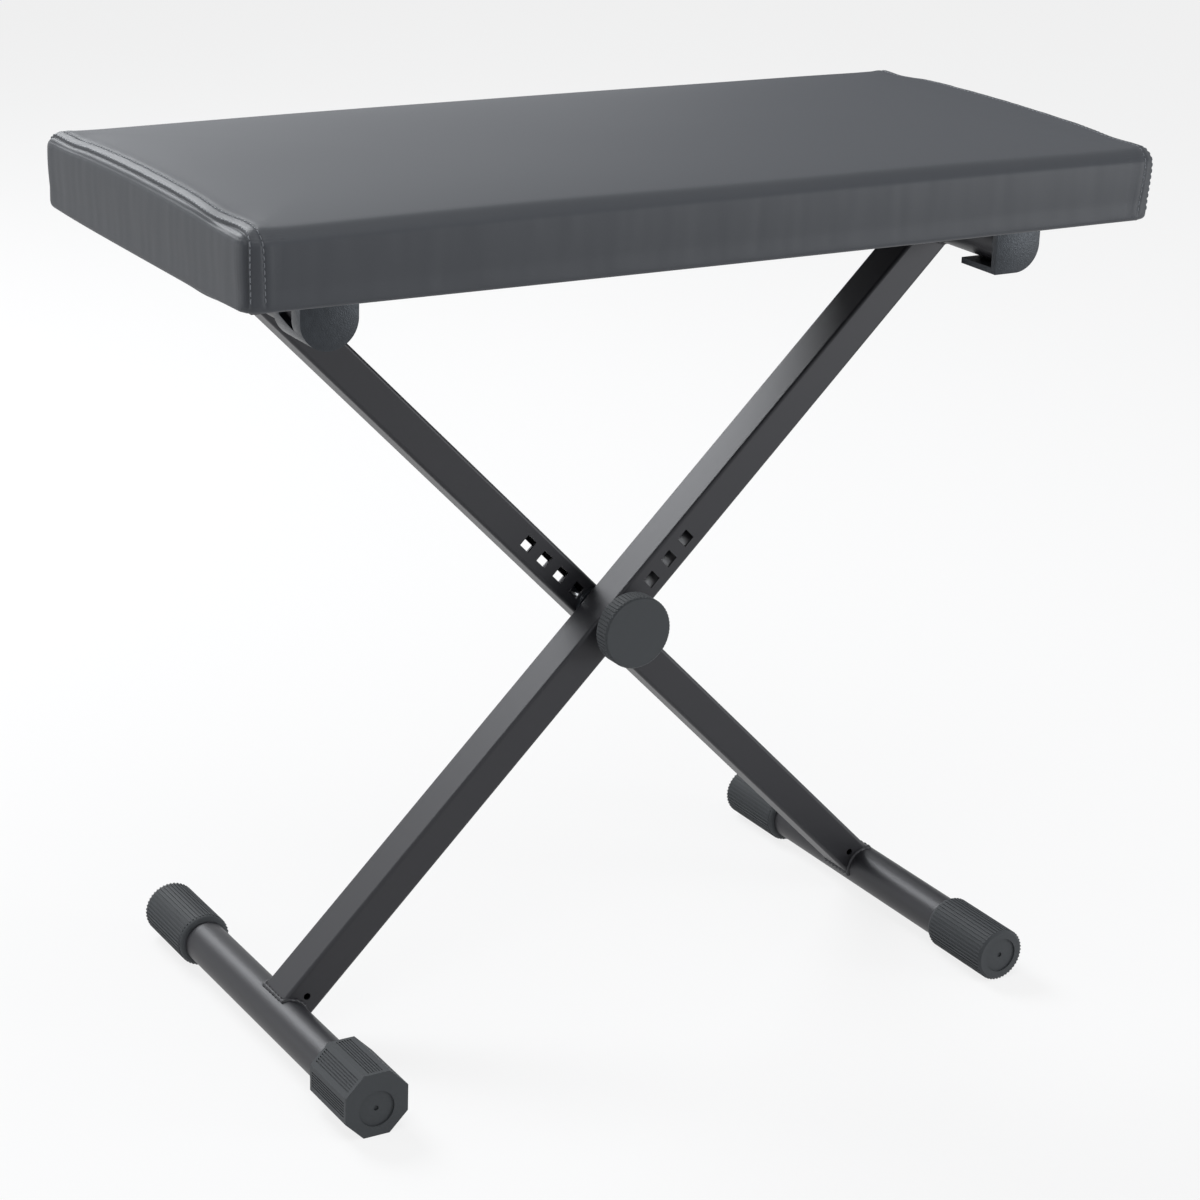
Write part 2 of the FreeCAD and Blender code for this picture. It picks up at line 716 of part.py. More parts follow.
def make_cap(label, x, reverse):
    """A round ribbed plastic cap over one end of a foot tube."""
    body = new_body(label)
    place(body, (x, "0", "Sizes.cap_radius"))
    mouth = "(Sizes.foot_length / 2 - Sizes.cap_length)"
    offset = f"-{mouth}" if reverse else mouth
    core_radius = "(Sizes.cap_radius - Sizes.rib_height)"
    core = new_sketch(body, "XZ_Plane", offset)
    draw_circle(core, core_radius)
    pad(body, core, "Sizes.cap_length", reverse=reverse)
    mouth_y = value(mouth)
    soften(body, "Fillet", "Radius", "Sizes.cap_shoulder",
           lambda edge: isinstance(edge.Curve, Part.Circle)
           and abs(abs(edge.Curve.Center.y) - mouth_y) < CLOSE)
    end_y = value("Sizes.foot_length / 2")
    soften(body, "Chamfer", "Size", "Sizes.cap_bevel",
           lambda edge: isinstance(edge.Curve, Part.Circle)
           and abs(abs(edge.Curve.Center.y) - end_y) < CLOSE)
    rib = new_sketch(body, "XZ_Plane", f"{offset} {'-' if reverse else '+'} Sizes.cap_shoulder")
    draw_rectangle(rib, "-Sizes.rib_width / 2", f"-{core_radius} - Sizes.rib_height",
                   "Sizes.rib_width / 2", f"-{core_radius} + 2 * Sizes.rib_height")
    bar = pad(body, rib, "Sizes.cap_length - Sizes.cap_shoulder - Sizes.cap_bevel", reverse=reverse)
    polar_copies(body, bar, rib, "Sizes.cap_ribs")
    bore = new_sketch(body, "XZ_Plane", offset)
    draw_circle(bore, "Sizes.tube_radius")
    pocket(body, bore, "Sizes.cap_length - Sizes.cap_end", reverse=not reverse)
    add_end_face(body, reverse)


def make_leveller():
    """The eccentric eight-lobed cap that is turned to level the bench.

    Its bore is on the foot tube's axis and its lobed outside is centred above that,
    so that the thin side rests on the floor when the foot is at its lowest.
    """
    body = new_body("leveller")
    place(body, (f"-{FOOT_X}", "0", "Sizes.cap_radius"))
    mouth = "(Sizes.foot_length / 2 - Sizes.leveller_length)"
    centre = "Sizes.leveller_offset"
    apothem = "(Sizes.cap_radius + Sizes.leveller_offset)"
    corner = f"({apothem} / cos(180deg / Sizes.lobes))"
    collar = new_sketch(body, "XZ_Plane", mouth)
    draw_circle(collar, "Sizes.cap_radius - Sizes.rib_height")
    pad(body, collar, "Sizes.leveller_length")
    start = f"({mouth} + Sizes.leveller_collar)"
    facets = new_sketch(body, "XZ_Plane", start, centre)
    corners = []
    for index in range(round(value("Sizes.lobes"))):
        turn = f"(({index} + 0.5) * 360deg / Sizes.lobes)"
        corners.append((f"{corner} * sin({turn})", f"{corner} * cos({turn})"))
    draw_polygon(facets, corners)
    barrel = "Sizes.leveller_length - Sizes.leveller_collar"
    pad(body, facets, barrel)
    lobe = new_sketch(body, "XZ_Plane", start, centre, "180 / Sizes.lobes")
    draw_circle(lobe, "Sizes.lobe_radius", "0", f"{corner} - Sizes.lobe_inset")
    polar_copies(body, pad(body, lobe, barrel), lobe, "Sizes.lobes")
    grooves = new_sketch(body, "XZ_Plane", f"{start} + Sizes.leveller_margin", centre,
                         "180 + 360 / Sizes.lobes")
    half_count = round(value("Sizes.facet_grooves / 2"))
    for side in (-1, 1):
        for index in range(half_count):
            middle = f"{side} * ({index} + 0.5) * Sizes.groove_pitch"
            draw_rectangle(grooves, f"{middle} - Sizes.groove_width / 2",
                           f"{apothem} - Sizes.groove_depth",
                           f"{middle} + Sizes.groove_width / 2", f"{apothem} + {PAST}")
    cut = pocket(body, grooves, f"{barrel} - 2 * Sizes.leveller_margin", reverse=True)
    polar_copies(body, cut, grooves, "Sizes.lobes - 1", "360 * (Sizes.lobes - 2) / Sizes.lobes")
    bore = new_sketch(body, "XZ_Plane", mouth)
    draw_circle(bore, "Sizes.tube_radius + Sizes.fit_gap")
    pocket(body, bore, "Sizes.leveller_length - Sizes.cap_end + Sizes.fit_gap", reverse=True)
    add_end_face(body, False)


# Pivot and knob

def make_bolt():
    """A carriage bolt through both legs, its square neck held in the rear leg."""
    body = new_body("pivot_bolt")
    place(body, ("0", "0", PIVOT_Z), (0, 1, 0), "-1 * Sizes.leg_angle")
    rear = LEG_FRONT_FACE
    tip = f"({KNOB_FRONT} - Sizes.knob_cap_thickness - Sizes.bolt_tip_gap)"
    shank = new_sketch(body, "XZ_Plane", f"-{rear}")
    draw_circle(shank, "Sizes.bolt_radius")
    pad(body, shank, f"{rear} + {tip}")
    neck = new_sketch(body, "XZ_Plane", f"-{rear}")
    half = "Sizes.bolt_neck / 2"
    draw_rectangle(neck, f"-{half}", f"-{half}", half, half)
    pad(body, neck, "Sizes.bolt_neck_length")
    head = new_sketch(body, "XZ_Plane", f"-{rear}")
    draw_circle(head, "Sizes.bolt_head_radius")
    pad(body, head, "Sizes.bolt_head_height", reverse=True)
    crown = value(f"{rear} + Sizes.bolt_head_height")
    soften(body, "Fillet", "Radius", "Sizes.bolt_head_round",
           lambda edge: abs(edge.CenterOfMass.y - crown) < CLOSE)


def make_ring(label, outer, inner, start, thickness):
    """A flat ring on the pivot axis; start is how far its back face is in front."""
    body = new_body(label)
    place(body, ("0", "0", PIVOT_Z))
    ring = new_sketch(body, "XZ_Plane", start)
    draw_circle(ring, outer)
    draw_circle(ring, inner)
    pad(body, ring, thickness)
    return body


def make_knob():
    """The round hand knob: a fluted disc on a hub, with room for insert and cap."""
    body = new_body("knob_body")
    place(body, ("0", "0", PIVOT_Z))
    hub = new_sketch(body, "XZ_Plane", KNOB_BACK)
    draw_circle(hub, "Sizes.knob_hub_radius")
    pad(body, hub, "Sizes.knob_hub_length + Sizes.knob_rim")
    rim_start = f"({KNOB_BACK} + Sizes.knob_hub_length)"
    disc = new_sketch(body, "XZ_Plane", rim_start)
    draw_circle(disc, "Sizes.knob_radius")
    pad(body, disc, "Sizes.knob_rim")
    radius = value("Sizes.knob_radius")
    soften(body, "Chamfer", "Size", "Sizes.knob_bevel",
           lambda edge: isinstance(edge.Curve, Part.Circle)
           and abs(edge.Curve.Radius - radius) < CLOSE)
    flute = new_sketch(body, "XZ_Plane", rim_start)
    draw_circle(flute, "Sizes.knob_flute_radius", "0", "Sizes.knob_radius")
    cut = pocket(body, flute, middle=True)
    polar_copies(body, cut, flute, "Sizes.knob_flutes")
    seat_of_cap = new_sketch(body, "XZ_Plane", KNOB_FRONT)
    draw_circle(seat_of_cap, "Sizes.knob_cap_radius")
    pocket(body, seat_of_cap, "Sizes.knob_cap_thickness")
    room = new_sketch(body, "XZ_Plane", KNOB_BACK)
    draw_circle(room, "Sizes.insert_radius")
    pocket(body, room, "Sizes.insert_length", reverse=True)
    deep = new_sketch(body, "XZ_Plane", KNOB_BACK)
    draw_circle(deep, "Sizes.bolt_radius + Sizes.bolt_hole_gap")
    pocket(body, deep, f"{KNOB_FRONT} - {KNOB_BACK} - Sizes.knob_cap_thickness", reverse=True)
    cap = new_body("knob_cap")
    place(cap, ("0", "0", PIVOT_Z))
    face = new_sketch(cap, "XZ_Plane", f"{KNOB_FRONT} - Sizes.knob_cap_thickness")
    draw_circle(face, "Sizes.knob_cap_radius")
    pad(cap, face, "Sizes.knob_cap_thickness")


make_cushion()
make_board()
make_lining()
make_staples()
make_cup("front_left_cup", False)
make_cup("rear_left_cup", True)
make_hook("front_right_hook", False)
make_hook("rear_right_hook", True)
make_screws()
make_leg("front_leg", 1, "-(Sizes.leg_gap + Sizes.leg_depth) / 2")
make_leg("rear_leg", -1, "(Sizes.leg_gap + Sizes.leg_depth) / 2")
make_tube("left_foot_tube", f"-{FOOT_X}", "Sizes.cap_radius", FOOT_TUBE_LENGTH)
make_tube("right_foot_tube", FOOT_X, "Sizes.cap_radius", FOOT_TUBE_LENGTH)
make_tube("left_top_tube", f"-{TOP_X}", TOP_Z, "Sizes.top_tube_length")
make_tube("right_top_tube", TOP_X, TOP_Z, "Sizes.top_tube_length")
make_plugs("left_top_plugs", f"-{TOP_X}", TOP_Z)
make_plugs("right_top_plugs", TOP_X, TOP_Z)
make_cap("left_rear_cap", f"-{FOOT_X}", True)
make_cap("right_front_cap", FOOT_X, False)
make_cap("right_rear_cap", FOOT_X, True)
make_leveller()
make_bolt()
make_ring("leg_spacer", "Sizes.spacer_radius", "Sizes.bolt_radius + Sizes.bolt_hole_gap",
          "Sizes.contact_gap - Sizes.leg_gap / 2", "Sizes.leg_gap - 2 * Sizes.contact_gap")
make_ring("knob_washer", "Sizes.washer_radius", "Sizes.bolt_radius + Sizes.bolt_hole_gap",
          f"{LEG_FRONT_FACE} + Sizes.contact_gap", "Sizes.washer_thickness")
make_ring("knob_insert", "Sizes.insert_radius", "Sizes.bolt_radius + Sizes.contact_gap",
          KNOB_BACK, "Sizes.insert_length")
make_knob()

doc.recompute()

for thing in doc.Objects:
    if "Invalid" in thing.State or "Error" in thing.State:
        raise RuntimeError(f"{thing.Label} failed: {thing.State}")
os.makedirs("parts", exist_ok=True)
for piece in pieces:
    shape = piece.Shape
    if shape.isNull() or not shape.isValid():
        raise RuntimeError(f"{piece.Label} has no valid shape")
for piece in pieces:
    piece.Shape.exportStep(f"parts/{piece.Label}.step")
    box = piece.Shape.BoundBox
    print(f"{piece.Label:18s} solids {len(piece.Shape.Solids):2d}"
          f"  x {box.XMin:7.1f} {box.XMax:7.1f}  y {box.YMin:7.1f} {box.YMax:7.1f}"
          f"  z {box.ZMin:6.1f} {box.ZMax:6.1f}  volume {piece.Shape.Volume:10.0f}")
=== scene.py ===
"""Folding X-frame keyboard bench: finishes, cushion, seams, welds and stage.

Metres. X runs along the seat, Y from the front to the back, Z up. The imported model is
the fixed frame, and every piece here is placed in that frame.
"""
import json
import math

import bpy
import bmesh
from bpy.props import FloatProperty, FloatVectorProperty, PointerProperty
from bpy.types import Operator, Panel, PropertyGroup
from mathutils import Matrix, Vector, noise
from mathutils.bvhtree import BVHTree
from mathutils.interpolate import poly_3d_calc

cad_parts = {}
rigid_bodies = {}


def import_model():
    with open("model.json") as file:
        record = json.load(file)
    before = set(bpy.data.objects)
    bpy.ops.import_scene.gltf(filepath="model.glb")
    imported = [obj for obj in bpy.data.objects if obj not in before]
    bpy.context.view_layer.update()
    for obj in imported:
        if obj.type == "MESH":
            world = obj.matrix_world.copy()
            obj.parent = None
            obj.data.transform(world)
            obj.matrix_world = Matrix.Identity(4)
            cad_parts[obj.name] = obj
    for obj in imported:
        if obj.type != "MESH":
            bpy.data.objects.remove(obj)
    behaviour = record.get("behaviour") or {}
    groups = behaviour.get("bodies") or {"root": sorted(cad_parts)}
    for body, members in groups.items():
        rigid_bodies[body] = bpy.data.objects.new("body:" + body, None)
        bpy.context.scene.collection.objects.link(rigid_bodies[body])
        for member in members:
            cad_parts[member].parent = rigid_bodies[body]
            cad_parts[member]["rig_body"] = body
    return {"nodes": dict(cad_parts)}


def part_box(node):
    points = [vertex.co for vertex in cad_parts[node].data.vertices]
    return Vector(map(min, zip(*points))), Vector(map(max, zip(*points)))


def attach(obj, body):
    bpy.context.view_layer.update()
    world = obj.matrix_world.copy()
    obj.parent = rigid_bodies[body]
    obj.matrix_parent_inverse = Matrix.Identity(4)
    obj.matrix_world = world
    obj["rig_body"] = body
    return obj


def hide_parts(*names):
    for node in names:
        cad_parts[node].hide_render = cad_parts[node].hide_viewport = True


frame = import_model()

bl_info = {
    "name": "Keyboard bench",
    "version": (1, 0, 0),
    "blender": (4, 5, 0),
    "location": "View3D > Sidebar > Bench",
    "description": "Builds the cushion, seams, welds and finishes of a folding keyboard bench",
    "category": "Object",
}

CLOSE = 0.0001
NODES = frame["nodes"]
COVER_LOW, COVER_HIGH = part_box("seat_cover")
BOARD_LOW, BOARD_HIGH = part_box("seat_board")
LEATHER_NODES = ("seat_cover", "seat_foam")
TUBE_NODES = ("front_leg", "rear_leg", "left_foot_tube", "right_foot_tube",
              "left_top_tube", "right_top_tube")
BEARING_NODES = ("front_left_cup", "rear_left_cup", "front_right_hook", "rear_right_hook",
                 "left_top_plugs", "right_top_plugs", "leg_spacer")
CAP_NODES = ("left_rear_cap", "right_front_cap", "right_rear_cap", "leveller")
KNOB_NODES = ("knob_body", "knob_cap")
STEEL_NODES = ("lining_staples", "bearing_screws", "pivot_bolt", "knob_washer")
COLOUR = {"subtype": "COLOR", "size": 3, "min": 0.0, "max": 1.0}
LENGTH = {"subtype": "DISTANCE", "unit": "LENGTH"}
SEWN = {}
END_ZONE = 0.024
CAMERA_PLACE = (-1.047814, -1.750198, 0.998812)
CAMERA_TURN = (31.022, -19.629, 2.059)
WORLD_LIGHT = 0.25
FLOOR_GLOW = 0.82
ROUND_STEPS = 8
HEM_STEPS = 5
GRID_STEP = 0.005
CROWN = 0.0045
END_FALL = 0.0012
CORNER_PUFF = 0.0008
CORNER_DIP = 0.0009
END_SAG = 0.0016
SIDE_SAG = 0.0005
SEAM_STITCHES = 0.0016
MOULDING_ROUND = 0.0006
LEG_HALF_WIDTH = 0.0125
WELD_RADIUS = 0.0017
FLAG_PLACE = (1.9, 1.75, 1.0)
FLAG_SCALE = (1.3, 1.1, 1.0)
FLAG_FACING = (-1.6, -1.7, -0.35)


# Settings

class CushionSettings(PropertyGroup):
    """Sizes of the padded seat and its seams."""

    top_round: FloatProperty(
        name="Top edge", description="Radius of the edge round the top", default=0.010, **LENGTH)
    corner_round: FloatProperty(
        name="Corner", description="Radius of the four upright corners", default=0.012, **LENGTH)
    hem_round: FloatProperty(
        name="Hem", description="How far the cover turns in at the bottom",
        default=0.0038, **LENGTH)
    side_inset: FloatProperty(
        name="Side", description="How far the upright sides stand in from the fullest part",
        default=0.0014, **LENGTH)
    start_inset: FloatProperty(
        name="Slack", description="How much smaller the pad is before it swells",
        default=0.0022, **LENGTH)
    side_swell: FloatProperty(
        name="Side swell", description="How far the sides of the pad press out",
        default=0.0012, **LENGTH)
    seam_set_in: FloatProperty(
        name="Seam", description="Place of the end seam, in from the end", default=0.0033, **LENGTH)
    band_width: FloatProperty(
        name="Band", description="Width between the seam and the row of stitches beside it",
        default=0.0075, **LENGTH)
    stitch_pitch: FloatProperty(
        name="Stitch", description="Distance from one stitch to the next", default=0.0042, **LENGTH)
    thread_radius: FloatProperty(
        name="Thread", description="Radius of the sewing thread", default=0.00040, **LENGTH)


class FinishSettings(PropertyGroup):
    """Colours of the bench."""

    leather: FloatVectorProperty(
        name="Leatherette", description="Colour of the seat cover",
        default=(0.013, 0.015, 0.019), **COLOUR)
    # The light grey of the stitches is the thread's own colour lifted by a painted highlight, so
    # that they show as bright dashes.
    thread: FloatVectorProperty(
        name="Thread", description="Colour of the stitches", default=(0.20, 0.21, 0.23), **COLOUR)
    lining: FloatVectorProperty(
        name="Lining", description="Colour of the cloth under the seat",
        default=(0.012, 0.012, 0.013), **COLOUR)
    powder_coat: FloatVectorProperty(
        name="Powder coat", description="Colour of the steel tubes",
        default=(0.008, 0.009, 0.011), **COLOUR)
    bearing: FloatVectorProperty(
        name="Bearings", description="Colour of the bearings under the seat",
        default=(0.016, 0.018, 0.021), **COLOUR)
    cap: FloatVectorProperty(
        name="Caps", description="Colour of the foot caps and the knob",
        default=(0.026, 0.029, 0.034), **COLOUR)
    steel: FloatVectorProperty(
        name="Steel", description="Colour of the plated screws",
        default=(0.56, 0.57, 0.58), **COLOUR)
    brass: FloatVectorProperty(
        name="Brass", description="Colour of the insert in the knob",
        default=(0.72, 0.53, 0.26), **COLOUR)
    wood: FloatVectorProperty(
        name="Plywood", description="Colour of the board in the seat",
        default=(0.56, 0.42, 0.27), **COLOUR)


class StageSettings(PropertyGroup):
    """Floor, backdrop, lamps and camera."""

    floor: FloatVectorProperty(
        name="Floor", description="Colour of the floor", default=(0.92, 0.92, 0.93), **COLOUR)
    lens: FloatProperty(
        name="Lens", description="Focal length of the camera in millimetres", default=94.175)
    lamp: FloatProperty(
        name="Lamps", description="Strength of the lamps, 1 for the normal level", default=1.0)


# Shader building

def new_material(name):
    """An empty node material with its output and a Principled shader joined up."""
    material = bpy.data.materials.new(name)
    material.use_nodes = True
    nodes = material.node_tree.nodes
    nodes.clear()
    output = nodes.new("ShaderNodeOutputMaterial")
    shader = nodes.new("ShaderNodeBsdfPrincipled")
    material.node_tree.links.new(shader.outputs["BSDF"], output.inputs["Surface"])
    return material, shader


def set_sockets(node, **values):
    """Set a node's inputs by name, with underscores for the spaces."""
    for name, number in values.items():
        node.inputs[name.replace("_", " ")].default_value = number
    return node


def new_group(name, inputs, outputs):
    """A shader node group with named inputs and outputs, and its two end nodes."""
    group = bpy.data.node_groups.new(name, "ShaderNodeTree")
    for socket, kind, default in inputs:
        made = group.interface.new_socket(name=socket, in_out="INPUT", socket_type=kind)
        made.default_value = default
    for socket, kind in outputs:
        group.interface.new_socket(name=socket, in_out="OUTPUT", socket_type=kind)
    return group, group.nodes.new("NodeGroupInput"), group.nodes.new("NodeGroupOutput")


def add_group(material, group, **values):
    """Place a node group in a material with its own values."""
    node = material.node_tree.nodes.new("ShaderNodeGroup")
    node.node_tree = group
    return set_sockets(node, **values)


def object_coordinates(tree, scale=(1, 1, 1)):
    """The piece's own coordinates, stretched along each axis."""
    place = tree.nodes.new("ShaderNodeTexCoord")
    mapping = tree.nodes.new("ShaderNodeMapping")
    mapping.inputs["Scale"].default_value = scale
    tree.links.new(place.outputs["Object"], mapping.inputs["Vector"])
    return mapping.outputs["Vector"]


def add_noise(tree, vector, scale, detail=3.0, rough=0.5):
    """A noise texture, which gives a value about a half."""
    node = tree.nodes.new("ShaderNodeTexNoise")
    node.inputs["Detail"].default_value = detail
    node.inputs["Roughness"].default_value = rough
    link_or_set(tree, scale, node.inputs["Scale"])
    tree.links.new(vector, node.inputs["Vector"])
    return node.outputs["Fac"]


def link_or_set(tree, source, socket):
    """Join a socket to another, or give it a number."""
    if isinstance(source, (int, float)):
        socket.default_value = source
    else:
        tree.links.new(source, socket)


def reckon(tree, operation, first, second=0.0, clamp=False):
    """One sum on two values."""
    node = tree.nodes.new("ShaderNodeMath")
    node.operation = operation
    node.use_clamp = clamp
    link_or_set(tree, first, node.inputs[0])
    link_or_set(tree, second, node.inputs[1])
    return node.outputs["Value"]


def spread(tree, source, low, high, to_low=0.0, to_high=1.0):
    """Map a value from one range to another."""
    node = tree.nodes.new("ShaderNodeMapRange")
    tree.links.new(source, node.inputs["Value"])
    for name, number in (("From Min", low), ("From Max", high),
                         ("To Min", to_low), ("To Max", to_high)):
        link_or_set(tree, number, node.inputs[name])
    return node.outputs["Result"]


def shade_colour(tree, colour, factor):
    """A colour made darker or lighter by a factor."""
    node = tree.nodes.new("ShaderNodeVectorMath")
    node.operation = "SCALE"
    link_or_set_colour(tree, colour, node.inputs[0])
    link_or_set(tree, factor, node.inputs["Scale"])
    return node.outputs["Vector"]


def link_or_set_colour(tree, source, socket):
    """Join a socket to a colour socket, or give it three numbers."""
    if isinstance(source, (tuple, list, Vector)):
        socket.default_value = source
    else:
        tree.links.new(source, socket)


def build_grain_group():
    """Fine pebble grain with pores, as on leatherette and textured plastic."""
    group, start, end = new_group(
        "Grain",
        [("Scale", "NodeSocketFloat", 900.0), ("Pore Depth", "NodeSocketFloat", 0.5)],
        [("Height", "NodeSocketFloat"), ("Tone", "NodeSocketFloat")])
    vector = object_coordinates(group)
    cells = group.nodes.new("ShaderNodeTexVoronoi")
    cells.feature = "SMOOTH_F1"
    cells.inputs["Smoothness"].default_value = 0.6
    group.links.new(vector, cells.inputs["Vector"])
    group.links.new(start.outputs["Scale"], cells.inputs["Scale"])
    fine = add_noise(group, vector, reckon(group, "MULTIPLY", start.outputs["Scale"], 2.3), 2.0)
    pores = reckon(group, "MULTIPLY", cells.outputs["Distance"], start.outputs["Pore Depth"])
    height = reckon(group, "ADD", reckon(group, "MULTIPLY", fine, 0.4), pores)
    tone = add_noise(group, vector, reckon(group, "MULTIPLY", start.outputs["Scale"], 0.012), 4.0)
    group.links.new(height, end.inputs["Height"])
    group.links.new(tone, end.inputs["Tone"])
    return group


def build_wrinkle_group():
    """Drawn, upright creases that come and go along a stretched panel."""
    group, start, end = new_group(
        "Creases",
        [("Scale", "NodeSocketFloat", 60.0), ("Patch", "NodeSocketFloat", 9.0)],
        [("Height", "NodeSocketFloat")])
    bent = group.nodes.new("ShaderNodeTexNoise")
    bent.inputs["Scale"].default_value = 25.0
    vector = object_coordinates(group, (1.0, 1.0, 0.28))
    group.links.new(vector, bent.inputs["Vector"])
    mixed = group.nodes.new("ShaderNodeMix")
    mixed.data_type = "VECTOR"
    mixed.inputs["Factor"].default_value = 0.03
    group.links.new(vector, mixed.inputs[4])
    group.links.new(bent.outputs["Color"], mixed.inputs[5])
    lines = group.nodes.new("ShaderNodeTexNoise")
    lines.noise_type = "RIDGED_MULTIFRACTAL"
    lines.inputs["Detail"].default_value = 3.0
    lines.inputs["Roughness"].default_value = 0.55
    group.links.new(mixed.outputs[1], lines.inputs["Vector"])
    group.links.new(start.outputs["Scale"], lines.inputs["Scale"])
    patches = add_noise(group, object_coordinates(group), start.outputs["Patch"], 2.0)
    mask = spread(group, patches, 0.42, 0.66)
    height = reckon(group, "MULTIPLY", lines.outputs["Fac"], mask)
    group.links.new(height, end.inputs["Height"])
    return group


def build_edge_group():
    """A mask of worn outer edges, broken up by noise."""
    group, start, end = new_group(
        "Edge wear",
        [("Amount", "NodeSocketFloat", 0.5), ("Scale", "NodeSocketFloat", 120.0)],
        [("Mask", "NodeSocketFloat")])
    shape = group.nodes.new("ShaderNodeNewGeometry")
    edge = spread(group, shape.outputs["Pointiness"], 0.505, 0.56)
    broken = spread(group, add_noise(group, object_coordinates(group), start.outputs["Scale"]),
                    0.42, 0.62)
    mask = reckon(group, "MULTIPLY", reckon(group, "MULTIPLY", edge, broken),
                  start.outputs["Amount"], clamp=True)
    group.links.new(mask, end.inputs["Mask"])
    return group


def build_dust_group():
    """A thin veil of dust and handling marks that changes tone and gloss."""
    group, start, end = new_group(
        "Veil",
        [("Scale", "NodeSocketFloat", 14.0), ("Gloss", "NodeSocketFloat", 0.4),
         ("Change", "NodeSocketFloat", 0.1)],
        [("Roughness", "NodeSocketFloat"), ("Tone", "NodeSocketFloat")])
    cloud = add_noise(group, object_coordinates(group), start.outputs["Scale"], 5.0, 0.6)
    swing = reckon(group, "SUBTRACT", cloud, 0.5)
    change = reckon(group, "MULTIPLY", swing, start.outputs["Change"])
    rough = reckon(group, "ADD", start.outputs["Gloss"], change, clamp=True)
    tone = reckon(group, "ADD", reckon(group, "MULTIPLY", swing, 0.5), 1.0)
    group.links.new(rough, end.inputs["Roughness"])
    group.links.new(tone, end.inputs["Tone"])
    return group


def add_bump(material, shader, height, strength, distance):
    """Lead a height into a shader's normal."""
    tree = material.node_tree
    bump = tree.nodes.new("ShaderNodeBump")
    bump.inputs["Strength"].default_value = strength
    bump.inputs["Distance"].default_value = distance
    tree.links.new(height, bump.inputs["Height"])
    tree.links.new(bump.outputs["Normal"], shader.inputs["Normal"])


def colour_surface(tree, shader, colour, tone, veil):
    """Give a shader its colour, changed by a tone, and the roughness of its veil."""
    tree.links.new(shade_colour(tree, colour, tone), shader.inputs["Base Color"])
    tree.links.new(veil.outputs["Roughness"], shader.inputs["Roughness"])


def build_leather(groups, colour):
    """Smooth black leatherette: fine grain, drawn creases and a soft cool sheen."""
    material, shader = new_material("leatherette")
    tree = material.node_tree
    set_sockets(shader, IOR=1.5, Sheen_Weight=0.03, Sheen_Roughness=0.4,
                Sheen_Tint=(0.75, 0.82, 0.95, 1.0), Specular_Tint=(0.80, 0.89, 1.0, 1.0))
    grain = add_group(material, groups["grain"], Scale=1100.0, Pore_Depth=0.7)
    crease = add_group(material, groups["wrinkle"], Scale=75.0, Patch=11.0)
    veil = add_group(material, groups["veil"], Scale=8.0, Gloss=0.33, Change=0.14)
    tone = reckon(tree, "MULTIPLY", veil.outputs["Tone"],
                  spread(tree, grain.outputs["Tone"], 0.3, 0.7, 0.9, 1.1))
    colour_surface(tree, shader, colour, tone, veil)
    height = reckon(tree, "ADD", reckon(tree, "MULTIPLY", grain.outputs["Height"], 0.05),
                    crease.outputs["Height"])
    add_bump(material, shader, height, 0.32, 0.0012)
    return material


def build_powder_coat(groups, colour):
    """Semi-gloss black powder coat with a fine orange peel."""
    material, shader = new_material("powder_coat")
    tree = material.node_tree
    set_sockets(shader, IOR=1.5, Coat_Weight=0.25, Coat_Roughness=0.06,
                Specular_Tint=(0.82, 0.90, 1.0, 1.0))
    edge = add_group(material, groups["edge"], Amount=0.35, Scale=160.0)
    veil = add_group(material, groups["veil"], Scale=22.0, Gloss=0.17, Change=0.05)
    peel = add_group(material, groups["grain"], Scale=700.0, Pore_Depth=0.6)
    tone = reckon(tree, "ADD", veil.outputs["Tone"], reckon(tree, "MULTIPLY",
                                                            edge.outputs["Mask"], 1.6))
    colour_surface(tree, shader, colour, tone, veil)
    add_bump(material, shader, peel.outputs["Height"], 0.10, 0.0004)
    return material


def build_plastic(groups, name, colour, gloss, grain_scale, depth):
    """Moulded plastic with a spark-eroded texture and lighter outer edges."""
    material, shader = new_material(name)
    tree = material.node_tree
    set_sockets(shader, IOR=1.47, Specular_Tint=(0.84, 0.91, 1.0, 1.0))
    edge = add_group(material, groups["edge"], Amount=0.6, Scale=220.0)
    veil = add_group(material, groups["veil"], Scale=35.0, Gloss=gloss, Change=0.12)
    grain = add_group(material, groups["grain"], Scale=grain_scale, Pore_Depth=1.0)
    tone = reckon(tree, "ADD", veil.outputs["Tone"], edge.outputs["Mask"])
    colour_surface(tree, shader, colour, tone, veil)
    add_bump(material, shader, grain.outputs["Height"], 0.35, depth)
    return material


def build_metal(groups, name, colour, gloss):
    """Plated or turned metal with fine scratches."""
    material, shader = new_material(name)
    tree = material.node_tree
    set_sockets(shader, Metallic=1.0)
    veil = add_group(material, groups["veil"], Scale=180.0, Gloss=gloss, Change=0.2)
    scratches = add_noise(tree, object_coordinates(tree, (900.0, 120.0, 900.0)), 1.0, 4.0)
    colour_surface(tree, shader, colour, veil.outputs["Tone"], veil)
    add_bump(material, shader, scratches, 0.2, 0.0002)
    return material


